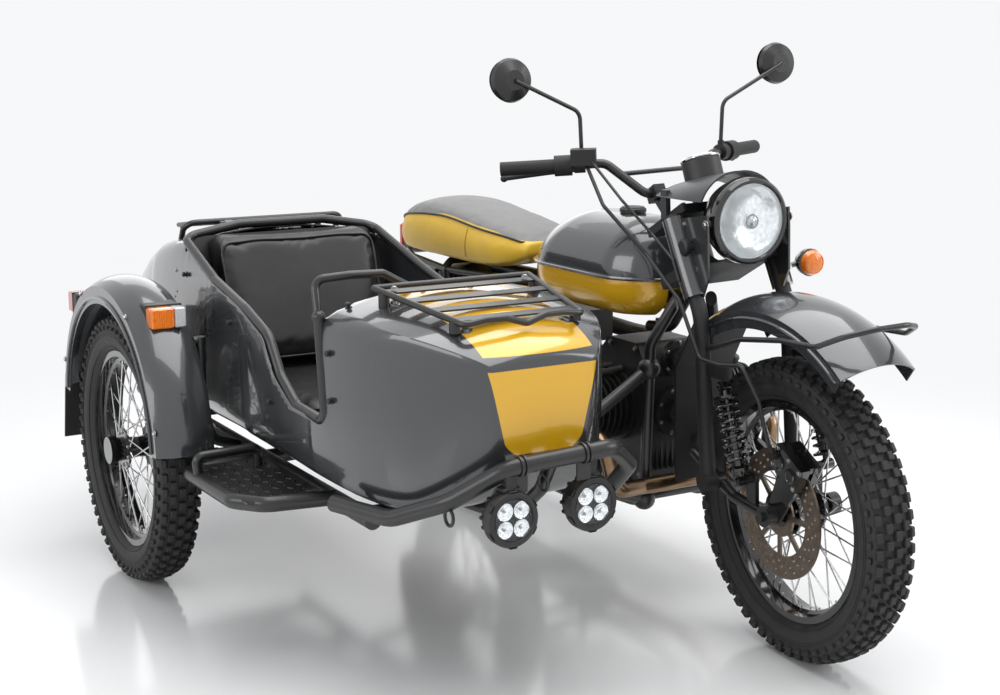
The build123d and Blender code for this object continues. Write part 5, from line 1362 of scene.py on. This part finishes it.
def engineDetails():
    cast, bright = gather(), gather()
    for side in (-1, 1):
        engineSide(cast, bright, side)
    for z, radius, count in ((600, 40, 6), (470, 56, 8)):
        for a in ringAngles(count, 0.5):
            putFacing(bright, boltMesh(4, 4), (1005.5, radius * cos(a), z + radius * sin(a)), (1, 0, 0))
    for z, radius in ((600, 18), (470, 22)):
        for a in ringAngles(9):
            at = (1020, radius * cos(a), z + radius * sin(a))
            put(cast, blockMesh((4, 14, 5), 1), at, ((1, 0, 0), (0, cos(a), sin(a)), (0, -sin(a), cos(a))))
    for k in range(9):      # upright ribs on the case's front
        put(cast, blockMesh((7, 5, 96), 1.4), (984, -64 + 16 * k, 368))
    addMesh("engineCovers", cast, "castAlloyDark", "chassis", sharp=0.5)
    addMesh("engineBolts", bright, "brightSteel", "chassis", sharp=0.4)


engineDetails()


def tailLamp():
    housing, lens = gather(), gather()
    put(housing, blockMesh((52, 86, 84), 9), (-350, 0, 748))
    put(housing, blockMesh((14, 60, 30), 2), (-330, 0, 738))
    put(lens, blockMesh((19, 88, 88), 4), (-385.5, 0, 750))
    for k in range(9):
        put(lens, blockMesh((2, 76, 3), 0.6), (-395.6, 0, 718 + 8 * k))
    shell = addMesh("tailLampHousing", housing, "blackPlastic", "chassis")
    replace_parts(shell, "tail_lamp")
    addMesh("tailLampLens", lens, "redPaintedGlow", "chassis")


tailLamp()


def riderDetails():
    # the mirrors' faces and the gauge's ring, dial, marks and needle
    glass, ring, dial, marks, needle = gather(), gather(), gather(), gather(), gather()
    for side in (-1, 1):
        mirror = spun([(0, 0.6), (47, 0.6), (48.5, 0), (0, 0)], 44)
        putFacing(glass, mirror, (841, side * 374, 1288), (-1, 0, -0.06))
    axis = Vector((sin(radians(-22)), 0, cos(radians(-22))))
    top = Vector((1092, 0, 1066)) + axis * 26
    bx, by, _ = basis(axis)

    def pointer(store, size, bevel, angle, reach, lift):
        out = bx * sin(angle) + by * cos(angle)
        put(store, blockMesh(size, bevel), top + out * reach + axis * lift, (out.cross(axis), out, axis))

    putFacing(ring, spun([(41, 0), (46.5, -2), (47, 1.5), (45, 4), (41, 3), (41, 0)], 44), top, axis)
    putFacing(dial, spun([(0, 0.8), (42, 0.8), (42, 0), (0, 0)], 44), top, axis)
    start, sweep, count = -135, 270, 24
    for k in range(count + 1):
        pointer(marks, (1.2, 7 if k % 4 == 0 else 4, 0.5), 0.1, radians(start + sweep * k / count), 36, 1.0)
    pointer(needle, (1.6, 34, 0.8), 0.2, radians(start), 14, 2.0)
    addMesh("mirrorGlass", glass, "mirrorFace", "steering")
    addMesh("gaugeRing", ring, "chrome", "steering")
    addMesh("gaugeDial", dial, "blackPlastic", "steering")
    addMesh("gaugeMarks", marks, "dialWhite", "steering")
    addMesh("gaugeNeedle", needle, "redLens", "steering")


riderDetails()


def behind(limitX, limitZ):
    # a mask for what lies behind one place and below a height
    def mask(tree):
        x, y, z = objectAxes(tree)
        far = -10.0
        back = combine(tree, "SUBTRACT", greater(tree, x, far), greater(tree, x, limitX))
        low = combine(tree, "SUBTRACT", greater(tree, z, far), greater(tree, z, limitZ))
        return combine(tree, "MULTIPLY", back, low)
    return mask


for node, name, first, second, mask, coatRoughness in (
        ("front_mudguard", "frontGuardPaint", "greyPaint", "flapRubber", behind(0.578, 0.742), 0.04),
        ("sidecar_mudguard", "sidecarGuardPaint", "greyPaint", "flapRubber", behind(-0.812, 0.430), 0.04),
        ("exhaust", "exhaustMetal", "heatSteel", "blackSatin", behind(-0.172, 0.300), 0.2)):
    dress(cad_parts[node], twoTone(name, first, second, mask, coatRoughness))
print("engine and rider details made")

cameraData = bpy.data.cameras.new("camera")
cameraData.lens = 57.54
cameraData.sensor_width = 36
cameraData.clip_end = 100
camera = newObject("camera", cameraData)
azimuth, elevation = radians(59.2653), radians(11.1791)
camera.location = (3.4585, -1.9513, 1.3831)
lookAlong = Vector((-sin(azimuth) * cos(elevation), cos(azimuth) * cos(elevation), -sin(elevation)))
camera.rotation_euler = lookAlong.to_track_quat("-Z", "Y").to_euler()
bpy.context.scene.camera = camera
studioWhite = (0.93, 0.935, 0.945, 1)


def directRays(tree):
    # 1 for what the camera sees itself, in a mirror or through glass, and 0 for light on a dull surface
    path = newNode(tree, "LightPath").outputs
    bent = combine(tree, "MAXIMUM", path["Is Glossy Ray"], path["Is Transmission Ray"])
    return combine(tree, "MAXIMUM", path["Is Camera Ray"], bent)


def studioFloor():
    # a pale polished floor that runs out to the white behind the machine
    verts, faces = [], []
    radii, count = (0, 4, 9, 18, 40), 48
    for radius in radii:
        verts += [(*around(radius, a), 0) for a in ringAngles(count)]
    for j in range(len(radii) - 1):
        for k in range(count):
            m = (k + 1) % count
            faces.append((j * count + k, j * count + m, (j + 1) * count + m, (j + 1) * count + k))
    mesh = newMesh("floor", verts, faces)
    shadeSmooth(mesh)
    floor = newObject("floor", mesh)
    material, tree, shader = newMaterial("floorWhite")
    feed(tree, shader, {"Base Color": (0.88, 0.885, 0.89, 1), "Roughness": 0.13})
    white = newNode(tree, "Emission", {"Color": studioWhite})
    reach = newNode(tree, "VectorMath", {0: objectPlace(tree)}, operation="LENGTH")
    far = newNode(tree, "MapRange", {"Value": reach.outputs["Value"], "From Min": 1.3, "From Max": 3.6},
                  interpolation_type="SMOOTHERSTEP")
    seen = combine(tree, "MULTIPLY", far.outputs["Result"], directRays(tree))
    mix = newNode(tree, "MixShader", {"Fac": seen, 1: shader.outputs["BSDF"], 2: white.outputs["Emission"]})
    feed(tree, tree.nodes["Material Output"], {"Surface": mix.outputs["Shader"]})
    mesh.materials.append(material)


def softLight(name, location, target, size, energy):
    data = bpy.data.lights.new(name, "AREA")
    data.shape = "RECTANGLE"
    data.size, data.size_y = size
    data.energy = energy
    lamp = newObject(name, data)
    lamp.location = location
    lamp.rotation_euler = (Vector(target) - Vector(location)).to_track_quat("-Z", "Y").to_euler()


def studioWorld():
    # white behind the machine for the camera, softer grey for its light and reflections
    world = bpy.data.worlds.new("studio")
    bpy.context.scene.world = world
    world.use_nodes = True
    tree = world.node_tree
    soft = tree.nodes["Background"]
    feed(tree, soft, {"Color": (0.93, 0.94, 0.95, 1), "Strength": 0.6})
    white = newNode(tree, "Background", {"Color": studioWhite, "Strength": 1.0})
    mix = newNode(tree, "MixShader", {"Fac": directRays(tree), 1: soft.outputs["Background"],
                                      2: white.outputs["Background"]})
    feed(tree, tree.nodes["World Output"], {"Surface": mix.outputs["Shader"]})


studioFloor()
softLight("topSoftbox", (0.3, 0.4, 4.2), (0.1, 0, 0.4), (4.5, 3.5), 150)
softLight("frontLeftSoftbox", (3.0, 3.6, 2.6), (0.2, 0.1, 0.6), (2.5, 2.0), 60)
softLight("sideSoftbox", (0.5, -4.8, 2.2), (0, 0, 0.6), (4.0, 1.8), 70)
softLight("backSoftbox", (-4.2, 1.2, 2.6), (0, 0, 0.6), (3.4, 2.4), 26)
studioWorld()
bpy.context.scene.view_settings.view_transform = "Standard"
print("scene lit")
